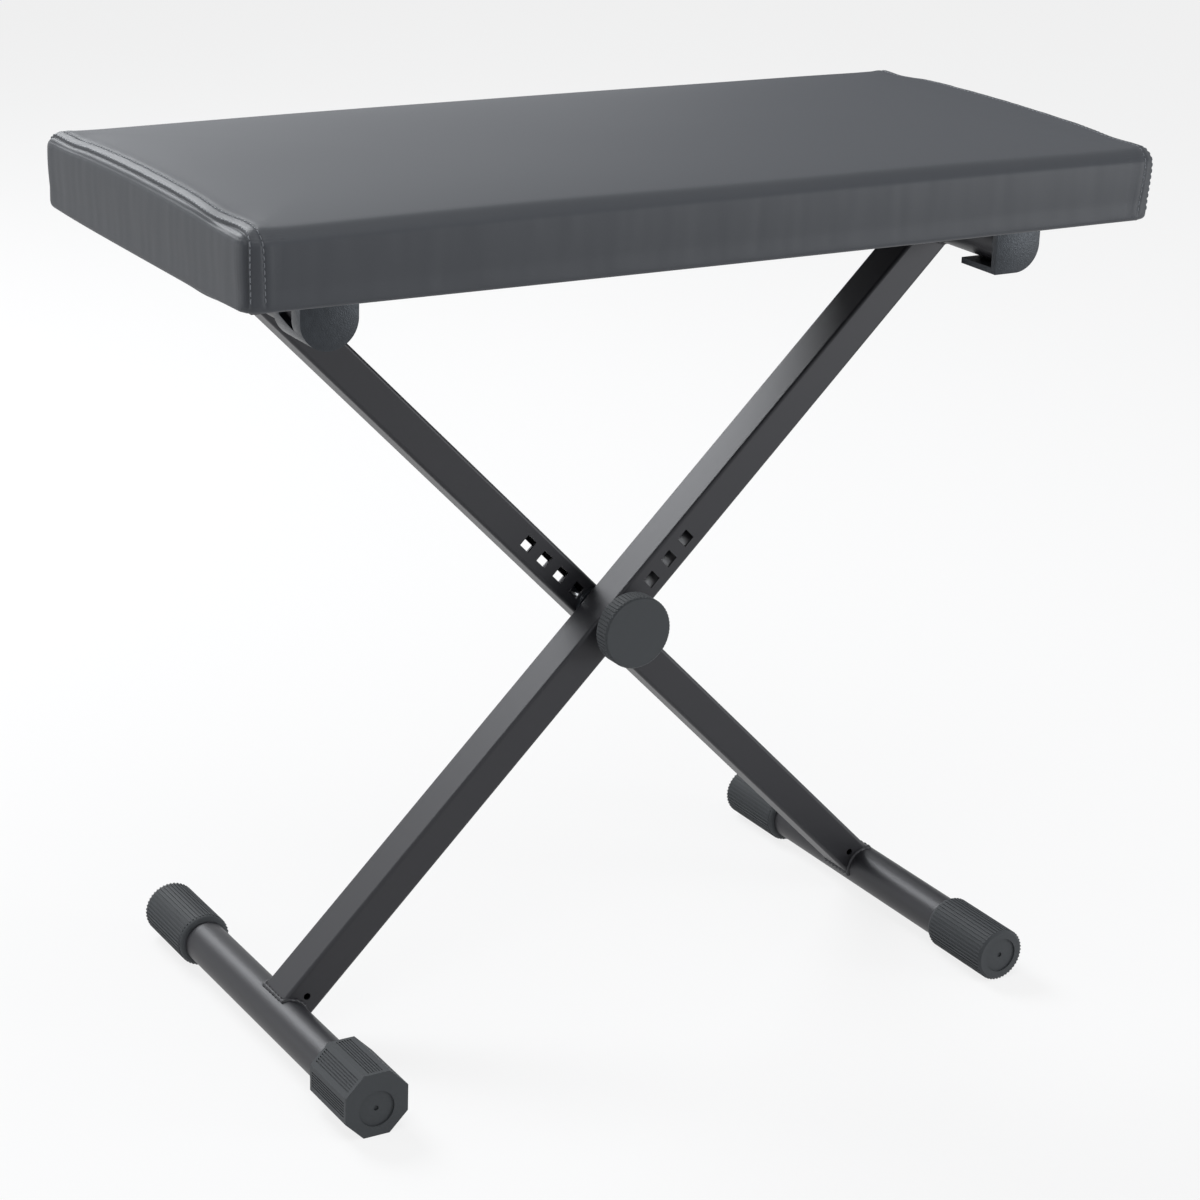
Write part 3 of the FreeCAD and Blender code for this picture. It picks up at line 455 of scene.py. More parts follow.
def build_lining(groups, colour):
    """Black non-woven cloth: matted fibres with a thermal dot pattern."""
    material, shader = new_material("lining_cloth")
    tree = material.node_tree
    set_sockets(shader, Sheen_Weight=0.05, Sheen_Roughness=0.6)
    fibres = add_noise(tree, object_coordinates(tree, (900.0, 260.0, 900.0)), 1.0, 5.0, 0.7)
    dots = tree.nodes.new("ShaderNodeTexVoronoi")
    dots.inputs["Scale"].default_value = 520.0
    dots.inputs["Randomness"].default_value = 0.15
    tree.links.new(object_coordinates(tree), dots.inputs["Vector"])
    pressed = spread(tree, dots.outputs["Distance"], 0.18, 0.34)
    veil = add_group(material, groups["veil"], Scale=12.0, Gloss=0.88, Change=0.1)
    tone = reckon(tree, "MULTIPLY", veil.outputs["Tone"], spread(tree, fibres, 0.3, 0.7, 0.7, 1.3))
    colour_surface(tree, shader, colour, tone, veil)
    height = reckon(tree, "ADD", reckon(tree, "MULTIPLY", fibres, 0.5), pressed)
    add_bump(material, shader, height, 0.6, 0.0004)
    return material


def build_plywood(groups, colour):
    """Birch plywood: long grain on the faces and thin plies at the edges."""
    material, shader = new_material("plywood")
    tree = material.node_tree
    grain = add_noise(tree, object_coordinates(tree, (12.0, 180.0, 60.0)), 1.0, 6.0, 0.6)
    plies = tree.nodes.new("ShaderNodeTexWave")
    plies.bands_direction = "Z"
    plies.inputs["Scale"].default_value = 210.0
    plies.inputs["Distortion"].default_value = 0.4
    tree.links.new(object_coordinates(tree), plies.inputs["Vector"])
    veil = add_group(material, groups["veil"], Scale=9.0, Gloss=0.62, Change=0.15)
    tone = reckon(tree, "MULTIPLY", spread(tree, grain, 0.3, 0.7, 0.72, 1.12),
                  spread(tree, plies.outputs["Fac"], 0.0, 1.0, 0.85, 1.05))
    colour_surface(tree, shader, colour, tone, veil)
    add_bump(material, shader, grain, 0.3, 0.0003)
    return material


def build_thread(groups, colour):
    """Twisted polyester sewing thread."""
    material, shader = new_material("thread")
    tree = material.node_tree
    twist = tree.nodes.new("ShaderNodeTexWave")
    twist.inputs["Scale"].default_value = 900.0
    twist.inputs["Distortion"].default_value = 1.0
    tree.links.new(object_coordinates(tree), twist.inputs["Vector"])
    veil = add_group(material, groups["veil"], Scale=60.0, Gloss=0.5, Change=0.1)
    tone = spread(tree, twist.outputs["Fac"], 0.0, 1.0, 0.7, 1.25)
    # The colour given here is partly a painted highlight on the stitches.
    colour_surface(tree, shader, colour, tone, veil)
    add_bump(material, shader, twist.outputs["Fac"], 0.5, 0.0002)
    return material


def shared_groups():
    """The effects that several materials use, each built once."""
    names = {"grain": ("Grain", build_grain_group), "wrinkle": ("Creases", build_wrinkle_group),
             "edge": ("Edge wear", build_edge_group), "veil": ("Veil", build_dust_group)}
    return {key: bpy.data.node_groups.get(name) or build()
            for key, (name, build) in names.items()}


def material_of(name):
    """A material of the bench by name, built when it is first asked for."""
    found = bpy.data.materials.get(name)
    if found:
        return found
    groups = shared_groups()
    finish = bpy.context.scene.bench_finish
    builders = {
        "leatherette": lambda: build_leather(groups, finish.leather[:]),
        "powder_coat": lambda: build_powder_coat(groups, finish.powder_coat[:]),
        "bearing_plastic": lambda: build_plastic(groups, "bearing_plastic", finish.bearing[:],
                                                 0.38, 1500.0, 0.0004),
        "cap_plastic": lambda: build_plastic(groups, "cap_plastic", finish.cap[:],
                                             0.50, 1300.0, 0.0005),
        "knob_plastic": lambda: build_plastic(groups, "knob_plastic", finish.cap[:],
                                              0.46, 1700.0, 0.0004),
        "plated_steel": lambda: build_metal(groups, "plated_steel", finish.steel[:], 0.34),
        "insert_brass": lambda: build_metal(groups, "insert_brass", finish.brass[:], 0.30),
        "lining_cloth": lambda: build_lining(groups, finish.lining[:]),
        "plywood": lambda: build_plywood(groups, finish.wood[:]),
        "thread": lambda: build_thread(groups, finish.thread[:]),
    }
    return builders[name]()


def paint(thing, name):
    """Give an object one material in all its slots."""
    material = material_of(name)
    if not thing.material_slots:
        thing.data.materials.append(material)
    for slot in thing.material_slots:
        slot.material = material


# Modelling helpers

def deselect():
    """Clear the selection, in object mode."""
    if bpy.context.object and bpy.context.object.mode != "OBJECT":
        bpy.ops.object.mode_set(mode="OBJECT")
    bpy.ops.object.select_all(action="DESELECT")


def pick(thing):
    """Select one object and make it the active one."""
    deselect()
    thing.select_set(True)
    bpy.context.view_layer.objects.active = thing


def settle(thing, name):
    """Name a new piece and put its place into its mesh."""
    pick(thing)
    thing.name = name
    thing.data.name = name
    bpy.ops.object.transform_apply(location=True, rotation=True, scale=True)
    return thing


def select_parts(thing, kind, test):
    """Select the vertices, edges or faces of a mesh that pass a test, in edit mode."""
    bpy.ops.mesh.select_mode(type=kind)
    bpy.ops.mesh.select_all(action="DESELECT")
    form = bmesh.from_edit_mesh(thing.data)
    parts = {"VERT": form.verts, "EDGE": form.edges, "FACE": form.faces}[kind]
    for part in parts:
        if test(part):
            part.select_set(True)
    form.select_flush_mode()
    bmesh.update_edit_mesh(thing.data)


def slice_mesh(centres, axis):
    """Cut the selected faces with planes across one axis."""
    normal = [0.0, 0.0, 0.0]
    normal[axis] = 1.0
    for centre in centres:
        point = [0.0, 0.0, 0.0]
        point[axis] = centre
        bpy.ops.mesh.select_all(action="SELECT")
        bpy.ops.mesh.bisect(plane_co=point, plane_no=normal)


def even_cuts(low, high, step):
    """Evenly spaced places between two ends, without the ends."""
    count = max(1, round((high - low) / step))
    return [low + (high - low) * index / count for index in range(1, count)]


def smoothly(share):
    """Ease from 0 to 1."""
    share = min(max(share, 0.0), 1.0)
    return share * share * (3.0 - 2.0 * share)


def bell(distance, width):
    """A bump of height 1 that fades with distance."""
    return math.exp(-(distance / width) ** 2)


def shade_smooth(thing, degrees=35.0):
    """Smooth shading, with edges sharper than an angle kept crisp."""
    pick(thing)
    bpy.ops.object.shade_smooth_by_angle(angle=math.radians(degrees))


# Seat cushion

def cushion_block(settings):
    """The pad as cut: an upright-sided block with rounded corners and edges."""
    half_x = COVER_HIGH.x - settings.side_inset
    half_y = COVER_HIGH.y - settings.side_inset
    low = COVER_LOW.z
    high = COVER_HIGH.z - settings.start_inset
    deselect()
    bpy.ops.mesh.primitive_cube_add(size=1.0, location=(0.0, 0.0, (low + high) / 2))
    block = bpy.context.object
    block.scale = (2 * half_x, 2 * half_y, high - low)
    settle(block, "seat_cushion")
    bpy.ops.object.mode_set(mode="EDIT")
    select_parts(block, "EDGE", lambda e: abs(e.verts[0].co.z - e.verts[1].co.z) > CLOSE)
    bpy.ops.mesh.bevel(offset=settings.corner_round, segments=ROUND_STEPS, affect="EDGES")
    select_parts(block, "EDGE", lambda e: min(v.co.z for v in e.verts) > high - CLOSE)
    bpy.ops.mesh.bevel(offset=settings.top_round, segments=ROUND_STEPS, affect="EDGES")
    select_parts(block, "EDGE", lambda e: max(v.co.z for v in e.verts) < low + CLOSE)
    bpy.ops.mesh.bevel(offset=settings.hem_round, segments=HEM_STEPS, affect="EDGES")
    corner = settings.corner_round
    slice_mesh(even_cuts(corner - half_x, half_x - corner, GRID_STEP), 0)
    slice_mesh(even_cuts(corner - half_y, half_y - corner, GRID_STEP), 1)
    slice_mesh(even_cuts(low + settings.hem_round, high - settings.top_round, GRID_STEP), 2)
    sewn = half_x - END_ZONE
    select_parts(block, "FACE", lambda f: abs(f.calc_center_median().x) < sewn)
    bpy.ops.mesh.subdivide(number_cuts=1)
    select_parts(block, "FACE", lambda f: abs(f.calc_center_median().x) >= sewn)
    bpy.ops.mesh.subdivide(number_cuts=3)
    bpy.ops.object.mode_set(mode="OBJECT")
    return block


def crown_height(x, y):
    """How far the top sinks from its middle towards the front and back."""
    across = abs(y) / COVER_HIGH.y
    along = abs(x) / COVER_HIGH.x
    return CROWN * across ** 2 + END_FALL * along ** 4


def crown_top(block):
    """Lower the top's front and back so that it is crowned."""
    low = COVER_LOW.z
    span = COVER_HIGH.z - low
    for vertex in block.data.vertices:
        share = smoothly((vertex.co.z - low - 0.3 * span) / (0.7 * span))
        vertex.co.z -= share * crown_height(vertex.co.x, vertex.co.y)


def swell_pad(block, settings):
    """Swell the pad as its filling presses it out: most in the middle of each face."""
    half_x = COVER_HIGH.x - settings.side_inset
    half_y = COVER_HIGH.y - settings.side_inset
    low = BOARD_HIGH.z
    span = COVER_HIGH.z - low
    block.data.update()
    normals = [vertex.normal.copy() for vertex in block.data.vertices]
    for vertex, normal in zip(block.data.vertices, normals):
        inset = min(half_x - abs(vertex.co.x), half_y - abs(vertex.co.y))
        rise = settings.start_inset * (1.0 - math.exp(-max(inset, 0.0) / 0.030))
        share = min(max((vertex.co.z - low) / span, 0.0), 1.0)
        bulge = settings.side_swell * math.sin(math.pi * share)
        level = smoothly((normal.z - 0.2) / 0.7)
        vertex.co += (level * rise + (1.0 - level) * bulge) * normal
    block.data.update()


def end_travel(depth, settings):
    """Arc length from the end seam towards the middle, for a point set in from the end."""
    radius = settings.top_round
    seam_turn = math.acos(1.0 - settings.seam_set_in / radius)
    if depth < radius:
        return radius * (math.acos(1.0 - max(depth, 0.0) / radius) - seam_turn)
    return radius * (math.pi / 2 - seam_turn) + depth - radius


def end_depth(travel, settings):
    """How far in from the end a point lies, for its arc length from the seam."""
    radius = settings.top_round
    seam_turn = math.acos(1.0 - settings.seam_set_in / radius)
    turn = seam_turn + travel / radius
    if turn < math.pi / 2:
        return radius * (1.0 - math.cos(turn))
    return radius + travel - radius * (math.pi / 2 - seam_turn)


def band_share(travel, width):
    """How fully a point lies on the band between the seam and its row of stitches."""
    ease = 0.0014
    return smoothly((travel - 0.0003) / ease) * smoothly((width - 0.0002 - travel) / ease)


def seam_relief(travel, place, width):
    """Height of the sewn end above the smooth surface."""
    plump = 1.0 + 0.5 * noise.noise(place * 90.0)
    relief = -0.0010 * bell(travel, 0.0006)
    relief += 0.00045 * plump * band_share(travel, width)
    relief -= 0.00045 * bell(travel - width, 0.0007)
    relief += 0.0003 * bell(travel + 0.0020, 0.0012)
    relief += 0.0003 * plump * bell(travel - width - 0.0036, 0.0028)
    return relief


def seam_drift(place, travel, width):
    """Sideways drift of a hand-fed seam, most beside the front and back corners."""
    side = math.copysign(1.0, place.x)
    outward = bell(place.y - side * 0.098, 0.022)
    inward = bell(place.y - side * 0.130, 0.018)
    drift = side * (0.0016 * outward - 0.0024 * inward)
    upright = smoothly((abs(place.y) - COVER_HIGH.y + 0.010) / 0.008)
    low_share = (COVER_HIGH.z - place.z) / (COVER_HIGH.z - COVER_LOW.z)
    drift -= side * 0.0032 * upright * low_share * smoothly((travel - 0.002) / 0.006)
    return drift * smoothly((travel + 0.004) / 0.004) * (1.0 - smoothly((travel - width) / 0.02))


def loose_surface(place):
    """Soft unevenness of the stretched panels, as a height above the surface."""
    top = smoothly((place.z - COVER_HIGH.z + 0.014) / 0.008)
    broad = noise.noise(Vector((place.x * 7.0, place.y * 9.0, 0.4)))
    drawn = noise.noise(Vector((place.x * 42.0, place.y * 42.0, place.z * 9.0)))
    fine = noise.noise(Vector((place.x * 130.0, place.y * 130.0, place.z * 22.0)))
    sides = 0.00045 * drawn + 0.00018 * fine
    return top * 0.0005 * broad + (1.0 - top) * sides


def shape_cushion(block, base, settings):
    """Seams, bands, drawn hem and unevenness, after the swelling."""
    half_x = COVER_HIGH.x - settings.side_inset
    half_y = COVER_HIGH.y - settings.side_inset
    low = COVER_LOW.z
    width = settings.band_width
    block.data.update()
    normals = [vertex.normal.copy() for vertex in block.data.vertices]
    for index, vertex in enumerate(block.data.vertices):
        start = base[index]
        travel = end_travel(half_x - abs(start.x), settings)
        share = smoothly((start.z - low - 0.002) / 0.004)
        relief = loose_surface(start) * share
        if travel < width + 0.03:
            relief += seam_relief(travel, start, width) * share
            vertex.co.x += seam_drift(start, travel, width)
        vertex.co += normals[index] * relief
        corner = bell(abs(start.y) - half_y + 0.010, 0.016) * bell(half_x - abs(start.x), 0.022)
        dip = bell(abs(start.y) - half_y + 0.042, 0.018) * bell(half_x - abs(start.x), 0.020)
        top = smoothly((start.z - COVER_HIGH.z + 0.016) / 0.010)
        vertex.co.z += top * (CORNER_PUFF * corner - CORNER_DIP * dip)
        hem = 1.0 - smoothly((start.z - low) / 0.012)
        end_share = smoothly((abs(start.x) - half_x + 0.008) / 0.006)
        side_share = smoothly((abs(start.y) - half_y + 0.010) / 0.006)
        vertex.co.z -= hem * end_share * END_SAG * (1.0 - (abs(start.y) / half_y) ** 4)
        vertex.co.z -= hem * side_share * SIDE_SAG * (1.0 - (start.x / half_x) ** 2)
    block.data.update()


class BENCH_OT_cushion(Operator):
    """Make the padded seat: a crowned and swollen pad with sewn ends"""

    bl_idname = "bench.cushion"
    bl_label = "Seat cushion"

    def execute(self, context):
        settings = context.scene.bench_cushion
        block = cushion_block(settings)
        crown_top(block)
        base = [vertex.co.copy() for vertex in block.data.vertices]
        swell_pad(block, settings)
        shape_cushion(block, base, settings)
        polygons = [tuple(face.vertices) for face in block.data.polygons]
        SEWN["base"] = BVHTree.FromPolygons(base, polygons)
        SEWN["start"] = base
        pick(block)
        bpy.ops.object.shade_smooth()
        paint(block, "leatherette")
        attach(block, "seat")
        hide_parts(*LEATHER_NODES)
        return {"FINISHED"}


def stitch_row(cushion, travel, side, settings):
    """Places and outward directions along one row of stitches, over an end of the seat."""
    start = SEWN["start"]
    x = side * (COVER_HIGH.x - settings.side_inset - end_depth(travel, settings))
    inner_y = COVER_HIGH.y - 0.020
    inner_z = COVER_HIGH.z - 0.020
    step = 0.001
    rays = [(Vector((x, -inner_y, z)), Vector((0, -1, 0)))
            for z in even_cuts(COVER_LOW.z + 0.005, inner_z, step)]
    for index in range(31):
        turn = math.radians(3.0 * index)
        rays.append((Vector((x, -inner_y, inner_z)), Vector((0, -math.cos(turn), math.sin(turn)))))
    over_top = even_cuts(-inner_y, inner_y, step)
    rays += [(Vector((x, y, inner_z)), Vector((0, 0, 1))) for y in over_top]
    mirrored = [(Vector((x, -at.y, at.z)), Vector((0, -way.y, way.z))) for at, way in rays]
    corner_count = len(rays) - len(over_top)
    rays += reversed(mirrored[:corner_count])
    line = []
    for origin, way in rays:
        hit, _, face, _ = SEWN["base"].ray_cast(origin, way)
        if hit is None:
            raise RuntimeError("a row of stitches runs off the cushion")
        polygon = cushion.data.polygons[face]
        shares = poly_3d_calc([start[v] for v in polygon.vertices], hit)
        place = sum((cushion.data.vertices[v].co * share
                     for v, share in zip(polygon.vertices, shares)), Vector())
        normal = sum((cushion.data.vertices[v].normal * share
                      for v, share in zip(polygon.vertices, shares)), Vector())
        line.append((place, normal.normalized()))
    return line


def evenly_along(line, pitch):
    """Places a pitch apart along a line of places, with direction and normal."""
    spots = []
    left = pitch / 2
    for (first, normal), (second, _) in zip(line, line[1:]):
        run = second - first
        length = run.length
        while left < length:
            spots.append((first + run * (left / length), run.normalized(), normal))
            left += pitch
        left -= length
    return spots


def model_stitch(settings):
    """One stitch, lying along X with its two ends drawn down into the leather."""
    deselect()
    bpy.ops.mesh.primitive_uv_sphere_add(segments=8, ring_count=6, radius=1.0)
    stitch = bpy.context.object
    stitch.rotation_euler = (0.0, math.pi / 2, 0.0)
    settle(stitch, "stitch_pattern")
    long = settings.stitch_pitch * 0.40
    for vertex in stitch.data.vertices:
        share = vertex.co.x
        drawn_in = max(0.05, math.sqrt(max(0.0, 1 - share ** 2)))
        fuller = math.sqrt(max(0.0, 1.0 - share ** 6)) / drawn_in
        fuller = min(fuller, 1.6)
        vertex.co.x = share * long
        vertex.co.y *= settings.thread_radius * fuller
        vertex.co.z = vertex.co.z * settings.thread_radius * fuller
        vertex.co.z += settings.thread_radius * (0.5 - 1.6 * share ** 4)
    return stitch


class BENCH_OT_stitches(Operator):
    """Sew two rows of stitches over each end of the seat"""

    bl_idname = "bench.stitches"
    bl_label = "Stitches"

    def execute(self, context):
        settings = context.scene.bench_cushion
        cushion = bpy.data.objects["seat_cushion"]
        pattern = model_stitch(settings)
        for side, end in ((-1, "left"), (1, "right")):
            for travel, row in ((SEAM_STITCHES, "seam"), (settings.band_width, "edge")):
                line = stitch_row(cushion, travel, side, settings)
                copies = []
                for place, way, normal in evenly_along(line, settings.stitch_pitch):
                    across = normal.cross(way).normalized()
                    out = way.cross(across).normalized()
                    turn = Matrix((way, across, out)).transposed().to_4x4()
                    mesh = pattern.data.copy()
                    mesh.transform(Matrix.Translation(place) @ turn)
                    copy = bpy.data.objects.new("stitch", mesh)
                    context.collection.objects.link(copy)
                    copies.append(copy)
                deselect()
                for copy in copies:
                    copy.select_set(True)
                context.view_layer.objects.active = copies[0]
                bpy.ops.object.join()
                row_piece = settle(context.object, f"{end}_{row}_stitches")
                bpy.ops.object.shade_smooth()
                paint(row_piece, "thread")
                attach(row_piece, "seat")
        bpy.data.objects.remove(pattern)
        return {"FINISHED"}


# Rigid pieces

def rounded_copy(node, name, width, material, segments=2):
    """A copy of a CAD piece with its sharp edges eased, in place of the piece."""
    source = NODES[node]
    piece = bpy.data.objects.new(name, source.data.copy())
    bpy.context.collection.objects.link(piece)
    piece.data.materials.clear()
    pick(piece)
    bpy.ops.object.mode_set(mode="EDIT")
    bpy.ops.mesh.select_all(action="SELECT")
    bpy.ops.mesh.remove_doubles(threshold=0.00001)
    bpy.ops.mesh.dissolve_limited(angle_limit=math.radians(2.0))
    bpy.ops.object.mode_set(mode="OBJECT")
    bevel = piece.modifiers.new("Eased edges", "BEVEL")
    bevel.limit_method = "ANGLE"
    bevel.angle_limit = math.radians(32.0)
    bevel.width = width
    bevel.segments = segments
    bpy.ops.object.modifier_apply(modifier=bevel.name)
    shade_smooth(piece, 40.0)
    paint(piece, material)
    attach(piece, source["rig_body"])
    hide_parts(node)
    return piece


class BENCH_OT_bearings(Operator):
    """Finish the cups, hooks and plugs under the seat, with eased edges"""

    bl_idname = "bench.bearings"
    bl_label = "Seat bearings"

    def execute(self, context):
        for node in BEARING_NODES[:4]:
            rounded_copy(node, node + "_moulding", MOULDING_ROUND, "bearing_plastic")
        for node in BEARING_NODES[4:]:
            paint(NODES[node], "bearing_plastic")
        return {"FINISHED"}


def weld_path(leg_way, across, foot, half_width, half_depth, tube_radius):
    """Points round the joint line between a leg and its cross tube."""
    outline = []
    count = 26
    for corner_a, corner_b in (((1, -1), (1, 1)), ((1, 1), (-1, 1)),
                               ((-1, 1), (-1, -1)), ((-1, -1), (1, -1))):
        for index in range(count):
            share = index / count
            a = half_width * (corner_a[0] + (corner_b[0] - corner_a[0]) * share)
            b = half_depth * (corner_a[1] + (corner_b[1] - corner_a[1]) * share)
            rise = math.sqrt(max(tube_radius ** 2 - a ** 2, 0.0))
            outline.append(foot + leg_way * rise + across * a + Vector((0.0, b, 0.0)))
    return outline


def weld_bead(name, path, radius, body):
    """A rippled weld bead along a closed path."""
    curve = bpy.data.curves.new(name, "CURVE")
    curve.dimensions = "3D"
    curve.bevel_depth = radius
    curve.bevel_resolution = 4
    spline = curve.splines.new("POLY")
    spline.points.add(len(path) - 1)
    for index, (point, place) in enumerate(zip(spline.points, path)):
        ripple = 1.0 + 0.16 * math.sin(index * 1.55) + 0.30 * noise.noise(place * 130.0)
        point.co = (*place, 1.0)
        point.radius = ripple
    spline.use_cyclic_u = True
    bead = bpy.data.objects.new(name, curve)
    bpy.context.collection.objects.link(bead)
    pick(bead)
    bpy.ops.object.convert(target="MESH")
    bead = bpy.context.object
    for vertex in bead.data.vertices:
        vertex.co += 0.00025 * Vector((noise.noise(vertex.co * 420.0), 0.0,
                                       noise.noise(vertex.co * 390.0 + Vector((5, 1, 2)))))
    settle(bead, name)
    bpy.ops.object.shade_smooth()
    paint(bead, "powder_coat")
    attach(bead, body)
    return bead


class BENCH_OT_tubes(Operator):
    """Powder-coat the tubes and weld the legs to their cross tubes"""

    bl_idname = "bench.tubes"
    bl_label = "Tubes and welds"

    def execute(self, context):
        for node in TUBE_NODES:
            paint(NODES[node], "powder_coat")
        slant = math.sqrt(0.5)
        for leg, tube, name, way_x, way_z in (
                ("front_leg", "left_foot_tube", "left_foot_weld", slant, slant),
                ("front_leg", "right_top_tube", "right_top_weld", -slant, -slant),
                ("rear_leg", "right_foot_tube", "right_foot_weld", -slant, slant),
                ("rear_leg", "left_top_tube", "left_top_weld", slant, -slant)):
            leg_low, leg_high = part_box(leg)
            tube_low, tube_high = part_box(tube)
            middle = (tube_low + tube_high) / 2
            foot = Vector((middle.x, (leg_low.y + leg_high.y) / 2, middle.z))
            way = Vector((way_x, 0.0, way_z))
            across = Vector((way.z, 0.0, -way.x))
            path = weld_path(way, across, foot, LEG_HALF_WIDTH, (leg_high.y - leg_low.y) / 2,
                             (tube_high.x - tube_low.x) / 2)
            weld_bead(name, path, WELD_RADIUS, NODES[leg]["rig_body"])
        return {"FINISHED"}


class BENCH_OT_feet(Operator):
    """Finish the foot caps and the leveller"""

    bl_idname = "bench.feet"
    bl_label = "Foot caps"

    def execute(self, context):
        for node in CAP_NODES:
            paint(NODES[node], "cap_plastic")
        return {"FINISHED"}


class BENCH_OT_knob(Operator):
    """Finish the hand knob at the crossing and its insert"""

    bl_idname = "bench.knob"
    bl_label = "Hand knob"

    def execute(self, context):
        for node in KNOB_NODES:
            paint(NODES[node], "knob_plastic")
        paint(NODES["knob_insert"], "insert_brass")
        return {"FINISHED"}


class BENCH_OT_underside(Operator):
    """Finish the board, the lining and the fasteners"""

    bl_idname = "bench.underside"
    bl_label = "Board, lining, fasteners"

    def execute(self, context):
        paint(NODES["seat_board"], "plywood")
        paint(NODES["seat_lining"], "lining_cloth")
        for node in STEEL_NODES:
            paint(NODES[node], "plated_steel")
        return {"FINISHED"}


# Stage

def build_floor_material(colour):
    """A pale floor that stays light where the camera sees it and keeps the shadow."""
    material = bpy.data.materials.new("floor")
    material.use_nodes = True
    tree = material.node_tree
    tree.nodes.clear()
    output = tree.nodes.new("ShaderNodeOutputMaterial")
    matt = tree.nodes.new("ShaderNodeBsdfDiffuse")
    matt.inputs["Color"].default_value = (*colour, 1.0)
    glow = tree.nodes.new("ShaderNodeEmission")
    glow.inputs["Color"].default_value = (1.0, 1.0, 1.0, 1.0)
    mixed = tree.nodes.new("ShaderNodeMixShader")
    tree.links.new(reckon(tree, "MULTIPLY", seen_directly(tree), FLOOR_GLOW), mixed.inputs["Fac"])
    tree.links.new(matt.outputs["BSDF"], mixed.inputs[1])
    tree.links.new(glow.outputs["Emission"], mixed.inputs[2])
    tree.links.new(mixed.outputs["Shader"], output.inputs["Surface"])
    return material


def build_flag_material():
    """A black card that keeps light off the far end of the seat's top."""
    material, shader = new_material("flag")
    set_sockets(shader, Base_Color=(0.004, 0.004, 0.004, 1.0), Roughness=1.0,
                Specular_IOR_Level=0.0)
    return material


def seen_directly(tree):
    """1 for rays from the camera or a mirror-like surface, otherwise 0."""
    path = tree.nodes.new("ShaderNodeLightPath")
    seen = reckon(tree, "MAXIMUM", path.outputs["Is Camera Ray"], path.outputs["Is Glossy Ray"])
    return reckon(tree, "MAXIMUM", seen, path.outputs["Is Transmission Ray"])


def build_world():
    """A white world that lights the bench softly from all round."""
    world = bpy.data.worlds.new("studio")
    bpy.context.scene.world = world
    world.use_nodes = True
    tree = world.node_tree
    background = tree.nodes["Background"]
    background.inputs["Color"].default_value = (0.97, 0.985, 1.0, 1.0)
    strength = spread(tree, seen_directly(tree), 0.0, 1.0, WORLD_LIGHT, 1.0)
    tree.links.new(strength, background.inputs["Strength"])


def add_lamp(name, place, target, size, power, height=None):
    """A soft rectangular lamp that faces a point."""
    deselect()
    bpy.ops.object.light_add(type="AREA", location=place)
    lamp = bpy.context.object
    lamp.name = name
    lamp.data.shape = "RECTANGLE"
    lamp.data.size = size
    lamp.data.size_y = height or size
    lamp.data.energy = power
    lamp.data.color = (0.96, 0.98, 1.0)
    lamp.visible_camera = False
    lamp.rotation_euler = (Vector(target) - Vector(place)).to_track_quat("-Z", "Y").to_euler()
    return lamp


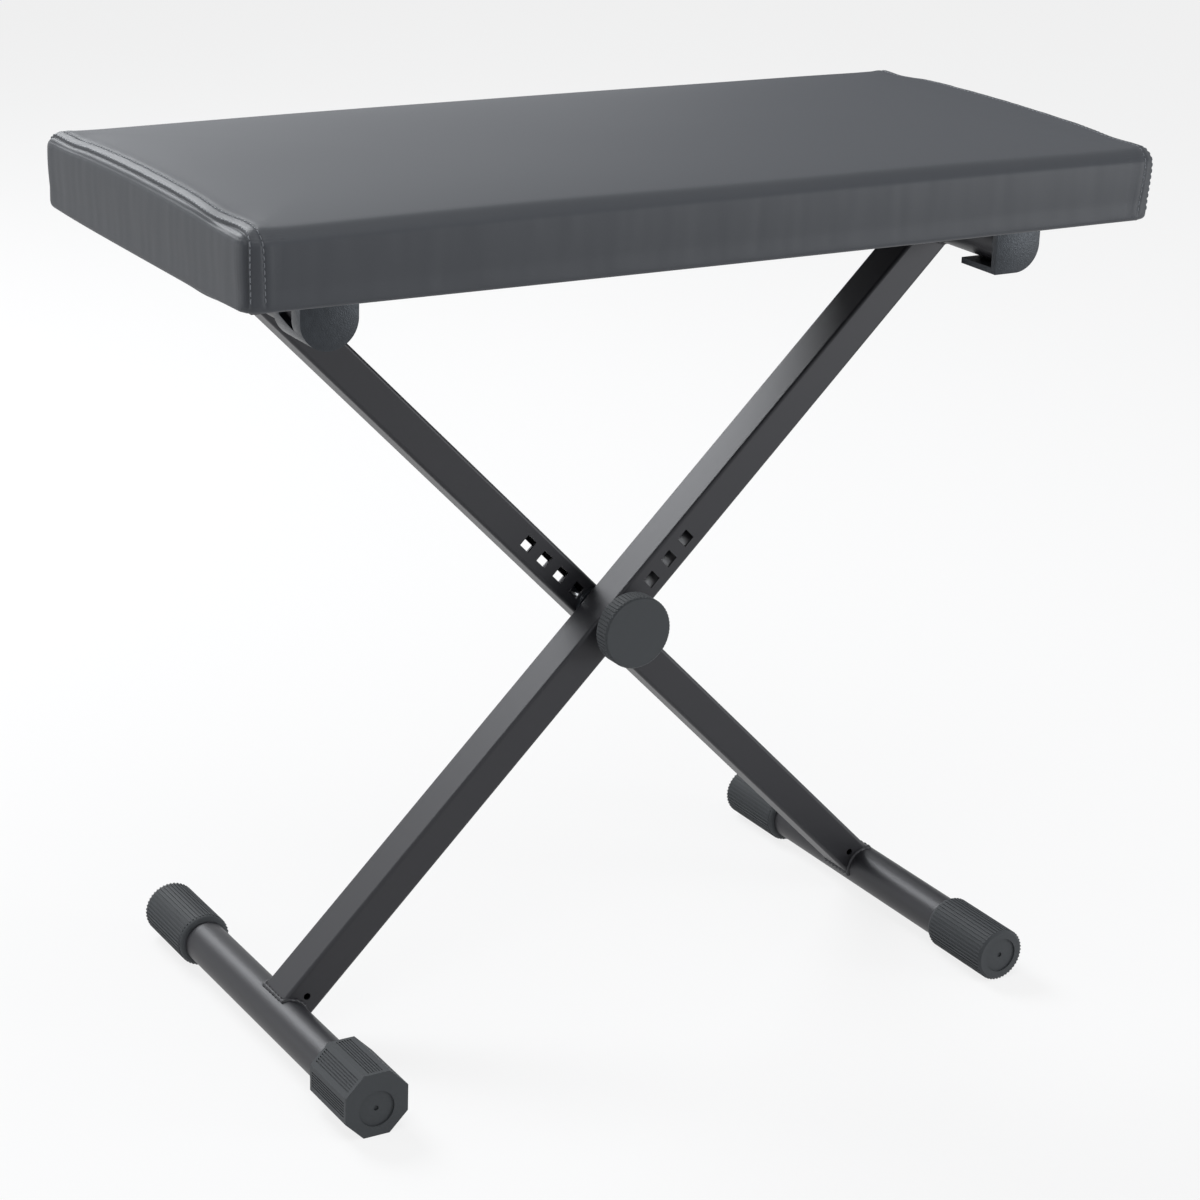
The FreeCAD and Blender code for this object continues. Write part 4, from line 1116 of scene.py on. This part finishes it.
class BENCH_OT_stage(Operator):
    """Set up the floor, the lamps, the world and the camera"""

    bl_idname = "bench.stage"
    bl_label = "Stage"

    def execute(self, context):
        settings = context.scene.bench_stage
        context.scene.view_settings.view_transform = "Standard"
        build_world()
        deselect()
        bpy.ops.mesh.primitive_plane_add(size=24.0, location=(0.0, 0.0, 0.0))
        floor = settle(context.object, "studio_floor")
        floor.data.materials.append(build_floor_material(settings.floor[:]))
        level = settings.lamp
        seat = (0.0, 0.0, 0.45)
        add_lamp("top_lamp", (-0.3, -0.9, 2.9), seat, 2.0, 24.0 * level)
        add_lamp("right_lamp", (1.85, -1.70, 0.42), (0.2, 0.0, 0.4), 0.9, 18.0 * level, 0.8)
        add_lamp("back_lamp", (-0.53, 2.0, 1.95), (0.0, 0.0, 0.35), 1.3, 50.0 * level, 1.1)
        add_lamp("left_lamp", (-2.2, 1.0, 0.5), (-0.3, 0.0, 0.5), 0.9, 9.0 * level, 0.8)
        deselect()
        bpy.ops.mesh.primitive_plane_add(size=1.0, location=FLAG_PLACE)
        flag = context.object
        flag.scale = FLAG_SCALE
        flag.rotation_euler = Vector(FLAG_FACING).to_track_quat("Z", "Y").to_euler()
        settle(flag, "dark_flag")
        flag.data.materials.append(build_flag_material())
        flag.visible_camera = False
        flag.visible_shadow = False
        flag.visible_diffuse = False
        bpy.ops.object.camera_add()
        camera = context.object
        camera.name = "photo_camera"
        camera.data.lens = settings.lens
        camera.data.sensor_width = 36.0
        camera.data.dof.use_dof = False
        yaw, pitch, roll = (math.radians(angle) for angle in CAMERA_TURN)
        ahead = Vector((math.sin(yaw) * math.cos(pitch), math.cos(yaw) * math.cos(pitch),
                        math.sin(pitch)))
        level_right = Vector((math.cos(yaw), -math.sin(yaw), 0.0))
        level_up = level_right.cross(ahead)
        right = level_right * math.cos(roll) + level_up * math.sin(roll)
        up = level_up * math.cos(roll) - level_right * math.sin(roll)
        turn = Matrix((right, up, -ahead)).transposed().to_4x4()
        camera.matrix_world = Matrix.Translation(CAMERA_PLACE) @ turn
        context.scene.camera = camera
        return {"FINISHED"}


class BENCH_PT_panel(Panel):
    """The bench's pieces, sizes and colours in the sidebar"""

    bl_label = "Keyboard bench"
    bl_idname = "BENCH_PT_panel"
    bl_space_type = "VIEW_3D"
    bl_region_type = "UI"
    bl_category = "Bench"

    def draw(self, context):
        layout = self.layout
        for operator in PIECE_OPERATORS:
            layout.operator(operator.bl_idname)
        for name in SETTINGS:
            settings = getattr(context.scene, name)
            box = layout.box()
            for prop in settings.__annotations__:
                box.prop(settings, prop)


PIECE_OPERATORS = (BENCH_OT_stage, BENCH_OT_cushion, BENCH_OT_stitches, BENCH_OT_underside,
                   BENCH_OT_bearings, BENCH_OT_tubes, BENCH_OT_feet, BENCH_OT_knob)
SETTINGS = {"bench_cushion": CushionSettings, "bench_finish": FinishSettings,
            "bench_stage": StageSettings}
CLASSES = (*SETTINGS.values(), *PIECE_OPERATORS, BENCH_PT_panel)


def register():
    """Make the settings, the operators and the panel known."""
    for item in CLASSES:
        bpy.utils.register_class(item)
    for name, kind in SETTINGS.items():
        setattr(bpy.types.Scene, name, PointerProperty(type=kind))


def unregister():
    """Take back what register did."""
    for name in SETTINGS:
        delattr(bpy.types.Scene, name)
    for item in reversed(CLASSES):
        bpy.utils.unregister_class(item)


def main():
    """Build the bench from its operators."""
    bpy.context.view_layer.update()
    register()
    bpy.ops.bench.stage()
    bpy.ops.bench.cushion()
    bpy.ops.bench.stitches()
    bpy.ops.bench.underside()
    bpy.ops.bench.bearings()
    bpy.ops.bench.tubes()
    bpy.ops.bench.feet()
    bpy.ops.bench.knob()


if __name__ == "__main__":
    main()
